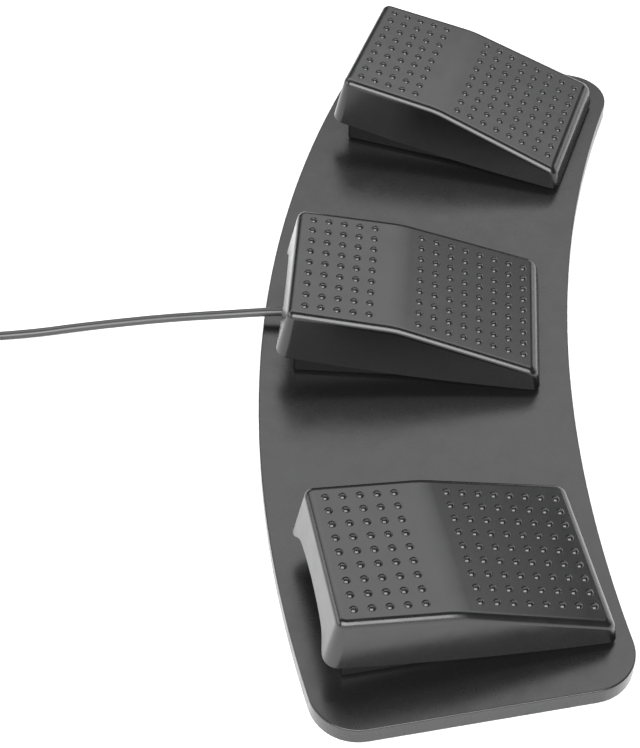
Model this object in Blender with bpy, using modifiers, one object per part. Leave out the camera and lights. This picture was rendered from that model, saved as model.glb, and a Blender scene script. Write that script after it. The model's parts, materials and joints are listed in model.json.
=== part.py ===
"""Three-pedal USB foot switch: three hinged foot pedals on a crescent base, with a thin USB cable.

Metres, +Z up. The origin is on the floor, under the middle of the object's box. +X runs along the
row of pedals to the user's right, and +Y points from the user's heels to their toes.
"""
import math

import bmesh
import bpy
import numpy as np
from mathutils import Matrix, Vector

MM = 0.001
GAP = 0.3 * MM                       # clearance between pieces that touch on the real object

# Heights above the floor
FOOT_HEIGHT = 1.2 * MM
WALL_FOOT_Z = 1.5 * MM               # lower edge of the base shell's wall
DECK_Z = 9.0 * MM                    # top of the base shell
DECK_THICKNESS = 2.2 * MM
WALL_THICKNESS = 2.5 * MM
BOTTOM_PLATE_THICKNESS = 1.2 * MM

# The crescent outline of the base
PLAN_SHIFT_Y = 16.9 * MM             # the middle pedal's bend line, in front of the origin
REAR_RADIUS = 513.7 * MM
REAR_CENTRE_Y = PLAN_SHIFT_Y - 461.3 * MM
FRONT_RADIUS = 548.5 * MM
FRONT_CENTRE_Y = PLAN_SHIFT_Y - 615.2 * MM
END_OFFSET = 48.5 * MM               # from an outer pedal's centre line to the base's end edge
CORNER_RADIUS = 17.0 * MM
ARC_STEPS = 16
CORNER_STEPS = 6

# Where the pedals stand
OUTER_PEDAL_X = 128.5 * MM
OUTER_PEDAL_BACK = 18.6 * MM         # how far the outer pedals sit nearer to the user
OUTER_PEDAL_YAW = math.radians(15.0)
SIDES = (("left", -1), ("middle", 0), ("right", 1))

# One pedal, in its own frame: origin on the deck under the bend line, +Y to the toe end
TOE_SLOPE = math.radians(7.1)
HEEL_SLOPE = math.radians(18.1)
BEND_Z = 28.2 * MM
BEND_RADIUS = 40.0 * MM
TOE_TOP_Y = 40.5 * MM
TOE_BASE_Y = 45.2 * MM
HEEL_TOP_Y = -53.7 * MM
HEEL_BASE_Y = -55.3 * MM
HALF_WIDTH_TOP = 29.3 * MM
HALF_WIDTH_BASE = 32.3 * MM
COVER_WALL = 2.2 * MM
COVER_ROUNDING = 2.6 * MM
SKIRT_HEEL_Z = 1.8 * MM
SKIRT_BEND_Z = 6.2 * MM
SKIRT_TOE_Z = 12.3 * MM
ARCH_HALF_WIDTH = 26.0 * MM
ARCH_RISE = 7.0 * MM

PIVOT_Y = -44.8 * MM
PIVOT_Z = 6.0 * MM
PIN_RADIUS = 1.5 * MM
PIN_HALF_LENGTH = 24.6 * MM
PIN_CLEARANCE = 0.1 * MM
KNUCKLE_RADIUS = 3.2 * MM
COVER_KNUCKLE_X = 22.2 * MM          # the cover's two knuckles stand outside the tray's two lugs
COVER_KNUCKLE_HALF_WIDTH = 2.2 * MM
TRAY_LUG_X = 16.5 * MM
TRAY_LUG_HALF_WIDTH = 2.5 * MM

TRAY_HALF_WIDTH = 27.0 * MM
TRAY_HEEL_Y = -50.5 * MM
TRAY_TOE_Y = 39.0 * MM
TRAY_WALL = 2.0 * MM
TRAY_FLOOR_TOP = 2.3 * MM
TRAY_WALL_TOE_Z = 11.0 * MM
TRAY_WALL_HEEL_Z = 7.0 * MM
TRAY_WALL_BREAK_Y = -20.0 * MM       # from here the tray's side walls fall towards the heel

SWITCH_FRONT_Y = -12.0 * MM
SWITCH_REAR_Y = 8.0 * MM
SWITCH_HALF_WIDTH = 3.2 * MM
SWITCH_TOP_Z = 14.1 * MM
POCKET_CLEARANCE = 0.4 * MM
POCKET_DEPTH = 2.8 * MM
LEVER_PIVOT_Y = -11.2 * MM
LEVER_PIVOT_Z = 15.0 * MM
LEVER_ANGLE = math.radians(16.0)
LEVER_LENGTH = 19.4 * MM
LEVER_HALF_WIDTH = 2.0 * MM
LEVER_THICKNESS = 0.5 * MM
LEVER_BARREL_RADIUS = 0.6 * MM
PLUNGER_Y = -7.0 * MM
PLUNGER_HALF_WIDTH = 1.0 * MM
PLUNGER_HALF_DEPTH = 0.9 * MM
PLUNGER_ABOVE = 1.3 * MM             # how far it stands out of the switch, and how far it reaches in
PLUNGER_BELOW = 1.1 * MM
ACTUATOR_Y = 5.0 * MM
ACTUATOR_HALF_WIDTH = 2.5 * MM
ACTUATOR_TIP_RADIUS = 1.0 * MM
ACTUATOR_TIP_Z = 21.26 * MM          # centre of the rib's rounded tip, 0.3 mm clear of the lever

SPRING_Y = 26.0 * MM
SPRING_RADIUS = 5.0 * MM
SPRING_WIRE_RADIUS = 0.5 * MM
SPRING_TOP_Z = 26.7 * MM
SPRING_TURNS = 6
SPRING_STEPS = 9
SPRING_SEAT_RADIUS = 6.5 * MM
SPIGOT_RADIUS = 3.6 * MM
COVER_SPIGOT_DROP = 3.5 * MM
TRAY_SPIGOT_HEIGHT = 4.0 * MM
STOP_X = -16.0 * MM
STOP_Y = 28.0 * MM
STOP_TOP_Z = 12.0 * MM
STOP_POST_Z = 19.2 * MM
STOP_POST_RADIUS = 3.0 * MM
STOP_RADIUS = 4.2 * MM
STOP_TOP_RADIUS = 3.6 * MM

BOARD_FRONT_Y = -14.0 * MM
BOARD_REAR_Y = 17.5 * MM
BOARD_THICKNESS = 1.2 * MM
SWITCH_BOARD_HALF_WIDTH = 7.5 * MM
CONTROL_BOARD_HALF_WIDTH = 16.0 * MM
CHIP_X = 7.0 * MM
CHIP_Y = -9.0 * MM
CHIP_SIZE = 7.0 * MM
CHIP_THICKNESS = 1.4 * MM
LEAD_HOLE_Y = 13.0 * MM
LEAD_HOLE_RADIUS = 1.5 * MM
INNER_LEAD_X = 12.0 * MM             # the middle pedal's two lead holes, each side of its centre
LEAD_RADIUS = 0.9 * MM
LEAD_Z = 4.8 * MM                    # height of the leads inside the base
LEAD_BEND = 1.8 * MM

# Screws, and the bosses and feet of the base; X is given for the right side and mirrored
TRAY_SCREWS = (("front", -19.0 * MM, -30.0 * MM), ("rear", 19.0 * MM, 27.0 * MM))
TRAY_SCREW_TIP_Z = -4.2 * MM
TRAY_BOSS_RADIUS = 3.2 * MM
TRAY_BOSS_LENGTH = 5.4 * MM
BASE_SCREWS = (
    ("rear_inner", 62.0 * MM, 46.0 * MM),
    ("front_inner", 62.0 * MM, -38.0 * MM),
    ("end", 167.0 * MM, -14.0 * MM),
)
BASE_SCREW_TIP_Z = 6.4 * MM
BASE_BOSS_RADIUS = 3.4 * MM
SCREW_HEAD_RADIUS = 2.6 * MM
SCREW_HEAD_TOP_RADIUS = 2.2 * MM
SCREW_HEAD_HEIGHT = 1.0 * MM
SCREW_SHANK = 1.2 * MM
SCREW_HOLE = 1.5 * MM
RECESS_RADIUS = 1.1 * MM
RECESS_DEPTH = 0.4 * MM
FOOT_RADIUS = 7.0 * MM
SIDE_FEET = (("rear", 150.0 * MM, 26.0 * MM), ("front", 143.0 * MM, -54.0 * MM))
MIDDLE_FEET = (("middle_rear", 57.0 * MM), ("middle_front", -38.0 * MM))

# The USB cable
CABLE_RADIUS = 1.75 * MM
CABLE_EXIT_Z = 5.2 * MM              # above the deck
CABLE_HOLE_RADIUS = 2.9 * MM
GROMMET_RADIUS = 2.6 * MM
GROMMET_REACH = 6.0 * MM             # into the tray, from the outside of its wall
GROMMET_OUTER_Y = 40.8 * MM
FLANGE_RADIUS = 3.9 * MM
FLANGE_TIP_RADIUS = 3.0 * MM
CABLE_STEP = 8.5 * MM
COIL_CENTRE = Vector((-37.85 * MM, 208.0 * MM))
COIL_MEAN_RADIUS = 21.0 * MM
COIL_HALF_WIDTH = 7.2 * MM
COIL_LOW_Z = 1.0 * MM
COIL_HIGH_Z = 12.0 * MM
TIE_THICKNESS = 0.7 * MM
TIE_HALF_WIDTH = 4.0 * MM
CABLE_ROUTE = [                      # X, Y, Z of the cable's centre, in mm
    (0.0, 58.0, 14.2),
    (-0.2, 64.0, 14.1),
    (-0.7, 72.0, 13.5),
    (-0.9, 84.0, 11.8),
    (-0.6, 98.0, 9.3),
    (-0.6, 112.0, 6.8),
    (-1.4, 128.0, 4.2),
    (-3.3, 144.0, 2.4),
    (-6.3, 158.0, 1.8),
    (-9.1, 172.0, 1.8),
    (-10.8, 183.0, 2.1),
    (-11.4, 194.0, 2.8),
]

# The plug, lying beside the coil and pointing to -X
PLUG_Y = COIL_CENTRE.y + COIL_MEAN_RADIUS + COIL_HALF_WIDTH - CABLE_RADIUS
PLUG_Z = 4.2 * MM
PLUG_BACK_X = COIL_CENTRE.x - 22.0 * MM
PLUG_TAIL_LENGTH = 6.6 * MM
PLUG_TAIL_RADIUS = 3.2 * MM
PLUG_TAIL_TIP_RADIUS = 2.3 * MM
PLUG_GRIP_LENGTH = 26.0 * MM
PLUG_GRIP_HALF_WIDTH = 7.6 * MM
PLUG_GRIP_HALF_HEIGHT = 4.0 * MM
PLUG_SHELL_LENGTH = 15.0 * MM
PLUG_SHELL_HALF_WIDTH = 6.0 * MM
PLUG_SHELL_HALF_HEIGHT = 2.25 * MM
PLUG_SHELL_WALL = 0.4 * MM
PLUG_MOUTH_DEPTH = 12.0 * MM

PARTS = "foot_switch"
CUTTERS = "foot_switch_cutters"


# Scene and materials

def clear_scene():
    for item in list(bpy.data.objects):
        bpy.data.objects.remove(item, do_unlink=True)


def new_collection(name):
    collection = bpy.data.collections.new(name)
    bpy.context.scene.collection.children.link(collection)
    return collection


def new_material(name, colour, roughness, metallic=0.0):
    material = bpy.data.materials.new(name)
    material.use_nodes = True
    shader = material.node_tree.nodes["Principled BSDF"]
    shader.inputs["Base Color"].default_value = (*colour, 1.0)
    shader.inputs["Roughness"].default_value = roughness
    shader.inputs["Metallic"].default_value = metallic
    material.diffuse_color = (*colour, 1.0)
    return material


def make_materials():
    return {
        "base_plastic": new_material("base_plastic", (0.050, 0.050, 0.052), 0.45),
        "pedal_plastic": new_material("pedal_plastic", (0.058, 0.058, 0.060), 0.42),
        "tray_plastic": new_material("tray_plastic", (0.025, 0.025, 0.026), 0.55),
        "plate_steel": new_material("plate_steel", (0.040, 0.040, 0.042), 0.50, 0.6),
        "zinc_steel": new_material("zinc_steel", (0.60, 0.60, 0.58), 0.35, 1.0),
        "spring_steel": new_material("spring_steel", (0.50, 0.50, 0.50), 0.30, 1.0),
        "rubber": new_material("rubber", (0.020, 0.020, 0.020), 0.80),
        "board": new_material("board", (0.010, 0.090, 0.040), 0.45),
        "switch_plastic": new_material("switch_plastic", (0.015, 0.015, 0.016), 0.50),
        "plunger_plastic": new_material("plunger_plastic", (0.45, 0.03, 0.02), 0.45),
        "chip": new_material("chip", (0.012, 0.012, 0.012), 0.60),
        "cable_jacket": new_material("cable_jacket", (0.055, 0.055, 0.057), 0.50),
        "usb_shell": new_material("usb_shell", (0.70, 0.70, 0.72), 0.22, 1.0),
    }


# Modelling helpers

def link(item, collection_name=CUTTERS):
    bpy.data.collections[collection_name].objects.link(item)
    return item


def object_from_bmesh(name, mesh_data):
    bmesh.ops.recalc_face_normals(mesh_data, faces=mesh_data.faces[:])
    mesh = bpy.data.meshes.new(name)
    mesh_data.to_mesh(mesh)
    mesh_data.free()
    return link(bpy.data.objects.new(name, mesh))


def box(name, low, high):
    """A box between two corners."""
    low, high = Vector(low), Vector(high)
    mesh_data = bmesh.new()
    bmesh.ops.create_cube(mesh_data, size=1.0)
    bmesh.ops.scale(mesh_data, vec=high - low, verts=mesh_data.verts[:])
    bmesh.ops.translate(mesh_data, vec=(low + high) / 2, verts=mesh_data.verts[:])
    return object_from_bmesh(name, mesh_data)


def cylinder(name, radius, start, end, segments=20, end_radius=None):
    """A cylinder or cone between two points."""
    start, end = Vector(start), Vector(end)
    mesh_data = bmesh.new()
    bmesh.ops.create_cone(
        mesh_data,
        cap_ends=True,
        segments=segments,
        radius1=radius,
        radius2=radius if end_radius is None else end_radius,
        depth=(end - start).length,
    )
    turn = (end - start).to_track_quat("Z", "Y").to_matrix().to_4x4()
    place = Matrix.Translation((start + end) / 2) @ turn
    bmesh.ops.transform(mesh_data, matrix=place, verts=mesh_data.verts[:])
    return object_from_bmesh(name, mesh_data)


def mesh_from_curve(name, item):
    """Turns a curve object into a mesh object with its caps welded."""
    bpy.context.view_layer.update()
    depsgraph = bpy.context.evaluated_depsgraph_get()
    mesh = bpy.data.meshes.new_from_object(item.evaluated_get(depsgraph))
    mesh_data = bmesh.new()
    mesh_data.from_mesh(mesh)
    bmesh.ops.remove_doubles(mesh_data, verts=mesh_data.verts[:], dist=0.001 * MM)
    bmesh.ops.dissolve_limit(
        mesh_data,
        angle_limit=math.radians(0.05),
        verts=mesh_data.verts[:],
        edges=mesh_data.edges[:],
    )
    bmesh.ops.transform(mesh_data, matrix=item.matrix_world, verts=mesh_data.verts[:])
    bpy.data.objects.remove(item, do_unlink=True)
    return object_from_bmesh(name, mesh_data)


def extruded_outline(name, points, low, high):
    """A flat outline in X and Y, filled and extruded from one height to another."""
    curve = bpy.data.curves.new(name, "CURVE")
    curve.dimensions = "2D"
    curve.fill_mode = "BOTH"
    curve.extrude = (high - low) / 2
    spline = curve.splines.new("POLY")
    spline.points.add(len(points) - 1)
    for target, point in zip(spline.points, points):
        target.co = (point[0], point[1], 0.0, 1.0)
    spline.use_cyclic_u = True
    item = link(bpy.data.objects.new(name, curve))
    item.location.z = (high + low) / 2
    return mesh_from_curve(name, item)


def extruded_profile(name, points, half_width, centre_x=0.0):
    """A side profile in Y and Z, extruded along X."""
    item = extruded_outline(name, points, -half_width, half_width)
    # The outline's X, Y and Z become the object's Y, Z and X.
    turn = Matrix(((0, 0, 1, centre_x), (1, 0, 0, 0), (0, 1, 0, 0), (0, 0, 0, 1)))
    item.data.transform(turn)
    return item


def tube(name, points, radius, resolution):
    """A round tube with closed ends along a list of points."""
    curve = bpy.data.curves.new(name, "CURVE")
    curve.dimensions = "3D"
    curve.bevel_depth = radius
    curve.bevel_resolution = resolution
    curve.use_fill_caps = True
    spline = curve.splines.new("POLY")
    spline.points.add(len(points) - 1)
    for target, point in zip(spline.points, points):
        target.co = (*point, 1.0)
    item = link(bpy.data.objects.new(name, curve))
    return mesh_from_curve(name, item)


def turned(name, profile, centre, steps=24):
    """A solid of revolution about a vertical axis, from (radius, height) points, top to bottom."""
    mesh_data = bmesh.new()
    ring = [mesh_data.verts.new((radius, 0.0, height)) for radius, height in profile]
    for first, second in zip(ring, ring[1:] + ring[:1]):
        mesh_data.edges.new((first, second))
    mesh = bpy.data.meshes.new(name)
    mesh_data.to_mesh(mesh)
    mesh_data.free()
    item = link(bpy.data.objects.new(name, mesh))
    item.location = centre
    screw = item.modifiers.new("turn", "SCREW")
    screw.steps = steps
    screw.render_steps = steps
    screw.use_merge_vertices = True
    screw.merge_threshold = 0.0001 * MM
    return item


def combine(item, other, operation):
    """Cuts or joins another object with a Boolean and hides that object as a cutter."""
    modifier = item.modifiers.new(other.name, "BOOLEAN")
    modifier.operation = operation
    modifier.solver = "EXACT"
    modifier.object = other
    other.hide_render = True
    other.display_type = "WIRE"


def cut(item, other):
    combine(item, other, "DIFFERENCE")


def join(item, other):
    combine(item, other, "UNION")


def bevel(item, width, segments, angle=40.0):
    modifier = item.modifiers.new("rounding", "BEVEL")
    modifier.width = width
    modifier.segments = segments
    modifier.limit_method = "ANGLE"
    modifier.angle_limit = math.radians(angle)


def shaped_mesh(item):
    """The object's mesh with its modifiers applied; the working objects are removed."""
    bpy.context.view_layer.update()
    depsgraph = bpy.context.evaluated_depsgraph_get()
    mesh = bpy.data.meshes.new_from_object(item.evaluated_get(depsgraph))
    mesh.transform(item.matrix_world)
    helpers = [m.object for m in item.modifiers if m.type == "BOOLEAN"]
    for helper in helpers + [item]:
        bpy.data.objects.remove(helper, do_unlink=True)
    return mesh


def arc(centre, radius, start, end, steps):
    """Points along an arc between two angles, ends included."""
    return [
        (centre[0] + radius * math.cos(angle), centre[1] + radius * math.sin(angle))
        for angle in np.linspace(start, end, steps + 1)
    ]


def smooth_route(points, step):
    """Evenly spaced points on a smooth curve through the given points."""
    knots = [Vector(point) for point in points]
    knots = [2 * knots[0] - knots[1]] + knots + [2 * knots[-1] - knots[-2]]
    dense = []
    for p0, p1, p2, p3 in zip(knots, knots[1:], knots[2:], knots[3:]):
        for t in np.linspace(0.0, 1.0, 24, endpoint=False):
            dense.append(0.5 * (
                2 * p1
                + (p2 - p0) * t
                + (2 * p0 - 5 * p1 + 4 * p2 - p3) * t ** 2
                + (3 * p1 - p0 - 3 * p2 + p3) * t ** 3
            ))
    dense.append(knots[-2])
    path = np.array([tuple(point) for point in dense])
    lengths = np.concatenate([[0.0], np.cumsum(np.linalg.norm(np.diff(path, axis=0), axis=1))])
    stations = np.linspace(0.0, lengths[-1], round(lengths[-1] / step) + 1)
    return [tuple(np.interp(station, lengths, path[:, axis]) for axis in range(3))
            for station in stations]


# Placing pieces

def place(name, mesh, material, parent=None, origin=(0.0, 0.0, 0.0)):
    """Adds a finished piece; its mesh is given in its parent's frame."""
    origin = Vector(origin)
    mesh = mesh.copy()
    mesh.transform(Matrix.Translation(-origin))
    mesh.name = name
    mesh.materials.clear()
    mesh.materials.append(material)
    mesh.shade_smooth()
    mesh.set_sharp_from_angle(angle=math.radians(35.0))
    item = bpy.data.objects.new(name, mesh)
    item.location = origin
    item.parent = parent
    bpy.data.collections[PARTS].objects.link(item)
    return item


def pedal_origins():
    """One empty for each pedal, on the deck under the pedal's bend line."""
    empties = {}
    for side, sign in SIDES:
        empty = bpy.data.objects.new(side + "_pedal_origin", None)
        empty.location = (
            sign * OUTER_PEDAL_X,
            PLAN_SHIFT_Y - abs(sign) * OUTER_PEDAL_BACK,
            DECK_Z,
        )
        empty.rotation_euler.z = -sign * OUTER_PEDAL_YAW
        bpy.data.collections[PARTS].objects.link(empty)
        empties[side] = empty
    bpy.context.view_layer.update()
    return empties


# The pedal cover

def cover_profile(inset, floor_z):
    """Side profile of the cover, moved inwards by the wall thickness, down to floor_z."""
    toe_top = BEND_Z + (TOE_TOP_Y - inset) * math.tan(TOE_SLOPE) - inset / math.cos(TOE_SLOPE)
    heel_top = BEND_Z + (HEEL_TOP_Y + inset) * math.tan(HEEL_SLOPE) - inset / math.cos(HEEL_SLOPE)
    radius = BEND_RADIUS - inset
    setback = BEND_RADIUS * math.tan((HEEL_SLOPE - TOE_SLOPE) / 2)
    start_y = setback * math.cos(TOE_SLOPE)
    centre = (
        start_y + BEND_RADIUS * math.sin(TOE_SLOPE),
        BEND_Z + start_y * math.tan(TOE_SLOPE) - BEND_RADIUS * math.cos(TOE_SLOPE),
    )
    quarter = math.radians(90.0)
    bend = arc(centre, radius, quarter + TOE_SLOPE, quarter + HEEL_SLOPE, 3)
    toe_drop = (TOE_BASE_Y - TOE_TOP_Y) / (toe_top - SKIRT_TOE_Z)
    heel_drop = (HEEL_TOP_Y - HEEL_BASE_Y) / (heel_top - SKIRT_HEEL_Z)
    return [
        (TOE_TOP_Y - inset, toe_top),
        *bend,
        (HEEL_TOP_Y + inset, heel_top),
        (HEEL_TOP_Y + inset - heel_drop * (heel_top - floor_z), floor_z),
        (TOE_TOP_Y - inset + toe_drop * (toe_top - floor_z), floor_z),
    ]


def drafted_block(name, inset, floor_z):
    """The cover's block with its sides leaning in towards the top."""
    item = extruded_profile(name, cover_profile(inset, floor_z), HALF_WIDTH_BASE)
    top_z = BEND_Z + TOE_TOP_Y * math.tan(TOE_SLOPE)
    for vertex in item.data.vertices:
        lean = (HALF_WIDTH_BASE - HALF_WIDTH_TOP) * vertex.co.z / top_z
        vertex.co.x = math.copysign(HALF_WIDTH_BASE - lean - inset, vertex.co.x)
    return item


def skirt_trim():
    """Everything below the cover's lower edge, which rises in a shallow curve to the toe end."""
    heel_run = -HEEL_BASE_Y
    toe_run = TOE_BASE_Y - HEEL_BASE_Y
    heel_rise = SKIRT_BEND_Z - SKIRT_HEEL_Z
    toe_rise = SKIRT_TOE_Z - SKIRT_HEEL_Z
    curvature = (toe_rise / toe_run - heel_rise / heel_run) / (toe_run - heel_run)
    slope = heel_rise / heel_run - curvature * heel_run
    edge = []
    for run in np.linspace(-6.0 * MM, toe_run + 6.0 * MM, 8):
        edge.append((HEEL_BASE_Y + run, SKIRT_HEEL_Z + slope * run + curvature * run ** 2))
    low = -30.0 * MM
    points = edge + [(edge[-1][0], low), (edge[0][0], low)]
    return extruded_profile("skirt_trim", points, 2 * HALF_WIDTH_BASE)


def toe_arch():
    """The arched opening in the lower edge of the toe wall."""
    points = []
    for angle in np.linspace(0.0, math.pi, 13):
        points.append((ARCH_HALF_WIDTH * math.cos(angle), ARCH_RISE * math.sin(angle) ** 0.8))
    points += [(-ARCH_HALF_WIDTH, -20.0 * MM), (ARCH_HALF_WIDTH, -20.0 * MM)]
    depth = 8.0 * MM
    item = extruded_outline("toe_arch", points, -depth / 2, depth / 2)
    stand = Matrix.Translation((0.0, TOE_BASE_Y, SKIRT_TOE_Z)) @ Matrix.Rotation(math.pi / 2, 4, "X")
    item.data.transform(stand)
    return item


def knuckle(name, centre_x, half_width):
    """A rib from the cover's ceiling that wraps round the hinge pin."""
    ceiling = [BEND_Z + (PIVOT_Y + side * KNUCKLE_RADIUS) * math.tan(HEEL_SLOPE) - COVER_WALL / 2
               for side in (1, -1)]
    points = arc((PIVOT_Y, PIVOT_Z), KNUCKLE_RADIUS, math.pi, 2 * math.pi, 8)
    points += [(PIVOT_Y + KNUCKLE_RADIUS, ceiling[0]), (PIVOT_Y - KNUCKLE_RADIUS, ceiling[1])]
    return extruded_profile(name, points, half_width, centre_x)


def pin_hole(name):
    reach = TRAY_HALF_WIDTH - TRAY_WALL / 2
    return cylinder(name, PIN_RADIUS + PIN_CLEARANCE, (-reach, PIVOT_Y, PIVOT_Z),
                    (reach, PIVOT_Y, PIVOT_Z))


def cover_mesh():
    """The hinged cover: a shell with its knuckles, switch rib, spring seat and stop post."""
    cover = drafted_block("cover", 0.0, -8.0 * MM)
    bevel(cover, COVER_ROUNDING, 3)
    cut(cover, drafted_block("cover_cavity", COVER_WALL, -10.0 * MM))
    cut(cover, skirt_trim())
    cut(cover, toe_arch())
    for side in (-1, 1):
        join(cover, knuckle("cover_knuckle", side * COVER_KNUCKLE_X, COVER_KNUCKLE_HALF_WIDTH))
    half = ACTUATOR_HALF_WIDTH
    join(cover, box("switch_rib", (-half, ACTUATOR_Y - ACTUATOR_TIP_RADIUS, ACTUATOR_TIP_Z),
                    (half, ACTUATOR_Y + ACTUATOR_TIP_RADIUS, BEND_Z - COVER_WALL / 2)))
    join(cover, cylinder("switch_rib_tip", ACTUATOR_TIP_RADIUS, (-half, ACTUATOR_Y, ACTUATOR_TIP_Z),
                         (half, ACTUATOR_Y, ACTUATOR_TIP_Z), 16))
    seat_top = BEND_Z + SPRING_Y * math.tan(TOE_SLOPE) - COVER_WALL / 2 - 1.0 * MM
    join(cover, cylinder("spring_seat", SPRING_SEAT_RADIUS, (0, SPRING_Y, SPRING_TOP_Z + GAP),
                         (0, SPRING_Y, seat_top)))
    join(cover, cylinder("spring_spigot", SPIGOT_RADIUS, (0, SPRING_Y, SPRING_TOP_Z - COVER_SPIGOT_DROP),
                         (0, SPRING_Y, seat_top), 16, SPIGOT_RADIUS + 0.4 * MM))
    stop_top = BEND_Z + STOP_Y * math.tan(TOE_SLOPE) - COVER_WALL / 2
    join(cover, cylinder("stop_post", STOP_POST_RADIUS, (STOP_X, STOP_Y, STOP_POST_Z),
                         (STOP_X, STOP_Y, stop_top), 16))
    cut(cover, pin_hole("cover_pin_hole"))
    return shaped_mesh(cover)


# The tray and what it holds

def tray_block(name, inset, floor_z, lift):
    low_y = TRAY_HEEL_Y + inset
    high_y = TRAY_TOE_Y - inset
    points = [
        (low_y, floor_z),
        (high_y, floor_z),
        (high_y, TRAY_WALL_TOE_Z + lift),
        (TRAY_WALL_BREAK_Y, TRAY_WALL_TOE_Z + lift),
        (low_y, TRAY_WALL_HEEL_Z + lift),
    ]
    return extruded_profile(name, points, TRAY_HALF_WIDTH - inset)


def tray_mesh():
    """The open tray under a cover, with hinge lugs, a spring spigot and holes."""
    tray = tray_block("tray", 0.0, GAP, 0.0)
    bevel(tray, 1.0 * MM, 2)
    cut(tray, tray_block("tray_cavity", TRAY_WALL, TRAY_FLOOR_TOP, 4.0 * MM))
    for side in (-1, 1):
        points = arc((PIVOT_Y, PIVOT_Z), KNUCKLE_RADIUS, 0.0, math.pi, 8)
        points += [(PIVOT_Y - KNUCKLE_RADIUS, TRAY_FLOOR_TOP / 2),
                   (PIVOT_Y + KNUCKLE_RADIUS, TRAY_FLOOR_TOP / 2)]
        join(tray, extruded_profile("tray_lug", points, TRAY_LUG_HALF_WIDTH, side * TRAY_LUG_X))
    join(tray, cylinder("tray_spigot", SPIGOT_RADIUS, (0, SPRING_Y, TRAY_FLOOR_TOP / 2),
                        (0, SPRING_Y, TRAY_FLOOR_TOP + TRAY_SPIGOT_HEIGHT), 16,
                        SPIGOT_RADIUS - 0.6 * MM))
    cut(tray, pin_hole("tray_pin_hole"))
    for _, x, y in TRAY_SCREWS:
        cut(tray, cylinder("tray_screw_hole", SCREW_HOLE, (x, y, -MM), (x, y, 4 * MM), 16))
    for x in (-INNER_LEAD_X, 0.0, INNER_LEAD_X):
        cut(tray, cylinder("tray_lead_hole", LEAD_HOLE_RADIUS, (x, LEAD_HOLE_Y, -MM),
                           (x, LEAD_HOLE_Y, 4 * MM), 12))
    cut(tray, cylinder("cable_hole", CABLE_HOLE_RADIUS, (0, TRAY_TOE_Y - 3 * MM, CABLE_EXIT_Z),
                       (0, TRAY_TOE_Y + MM, CABLE_EXIT_Z)))
    return shaped_mesh(tray)


def pin_mesh():
    pin = cylinder("pin", PIN_RADIUS, (-PIN_HALF_LENGTH, PIVOT_Y, PIVOT_Z),
                   (PIN_HALF_LENGTH, PIVOT_Y, PIVOT_Z))
    bevel(pin, 0.3 * MM, 1)
    return shaped_mesh(pin)


def spring_mesh():
    """A compression spring: a helix with flatter end turns."""
    low = TRAY_FLOOR_TOP + GAP + SPRING_WIRE_RADIUS
    high = SPRING_TOP_Z - SPRING_WIRE_RADIUS
    points = []
    for step in range(SPRING_TURNS * SPRING_STEPS + 1):
        share = step / (SPRING_TURNS * SPRING_STEPS)
        angle = 2 * math.pi * SPRING_TURNS * share
        climb = share - math.sin(2 * math.pi * share) / (2 * math.pi) * 0.6
        points.append((SPRING_RADIUS * math.cos(angle), SPRING_Y + SPRING_RADIUS * math.sin(angle),
                       low + (high - low) * climb))
    return shaped_mesh(tube("spring", points, SPRING_WIRE_RADIUS, 1))


def board_mesh(half_width):
    """A circuit board on the tray's floor."""
    low = TRAY_FLOOR_TOP + GAP
    board = box("board", (-half_width, BOARD_FRONT_Y, low),
                (half_width, BOARD_REAR_Y, low + BOARD_THICKNESS))
    return shaped_mesh(board)


def switch_body_mesh():
    """The snap switch's housing, with the plunger's pocket in its top."""
    low = TRAY_FLOOR_TOP + 2 * GAP + BOARD_THICKNESS
    body = box("switch_body", (-SWITCH_HALF_WIDTH, SWITCH_FRONT_Y, low),
               (SWITCH_HALF_WIDTH, SWITCH_REAR_Y, SWITCH_TOP_Z))
    bevel(body, 0.4 * MM, 1)
    half_width = PLUNGER_HALF_WIDTH + POCKET_CLEARANCE
    half_depth = PLUNGER_HALF_DEPTH + POCKET_CLEARANCE
    cut(body, box("plunger_pocket", (-half_width, PLUNGER_Y - half_depth, SWITCH_TOP_Z - POCKET_DEPTH),
                  (half_width, PLUNGER_Y + half_depth, SWITCH_TOP_Z + MM)))
    return shaped_mesh(body)


def lever_mesh():
    """The switch's spring-steel lever, rising from its pivot to the rib above it."""
    lever = box("lever", (-LEVER_HALF_WIDTH, -0.2 * MM, -LEVER_THICKNESS / 2),
                (LEVER_HALF_WIDTH, LEVER_LENGTH, LEVER_THICKNESS / 2))
    barrel_reach = LEVER_HALF_WIDTH + 0.4 * MM
    join(lever, cylinder("lever_barrel", LEVER_BARREL_RADIUS, (-barrel_reach, 0, 0),
                         (barrel_reach, 0, 0), 12))
    mesh = shaped_mesh(lever)
    mesh.transform(Matrix.Translation((0, LEVER_PIVOT_Y, LEVER_PIVOT_Z))
                   @ Matrix.Rotation(LEVER_ANGLE, 4, "X"))
    return mesh


def plunger_mesh():
    plunger = box(
        "plunger",
        (-PLUNGER_HALF_WIDTH, PLUNGER_Y - PLUNGER_HALF_DEPTH, SWITCH_TOP_Z - PLUNGER_BELOW),
        (PLUNGER_HALF_WIDTH, PLUNGER_Y + PLUNGER_HALF_DEPTH, SWITCH_TOP_Z + PLUNGER_ABOVE),
    )
    bevel(plunger, 0.25 * MM, 1)
    return shaped_mesh(plunger)


def stop_mesh():
    stop = cylinder("stop", STOP_RADIUS, (STOP_X, STOP_Y, TRAY_FLOOR_TOP + GAP),
                    (STOP_X, STOP_Y, STOP_TOP_Z), 16, STOP_TOP_RADIUS)
    bevel(stop, 0.6 * MM, 1)
    return shaped_mesh(stop)


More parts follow.
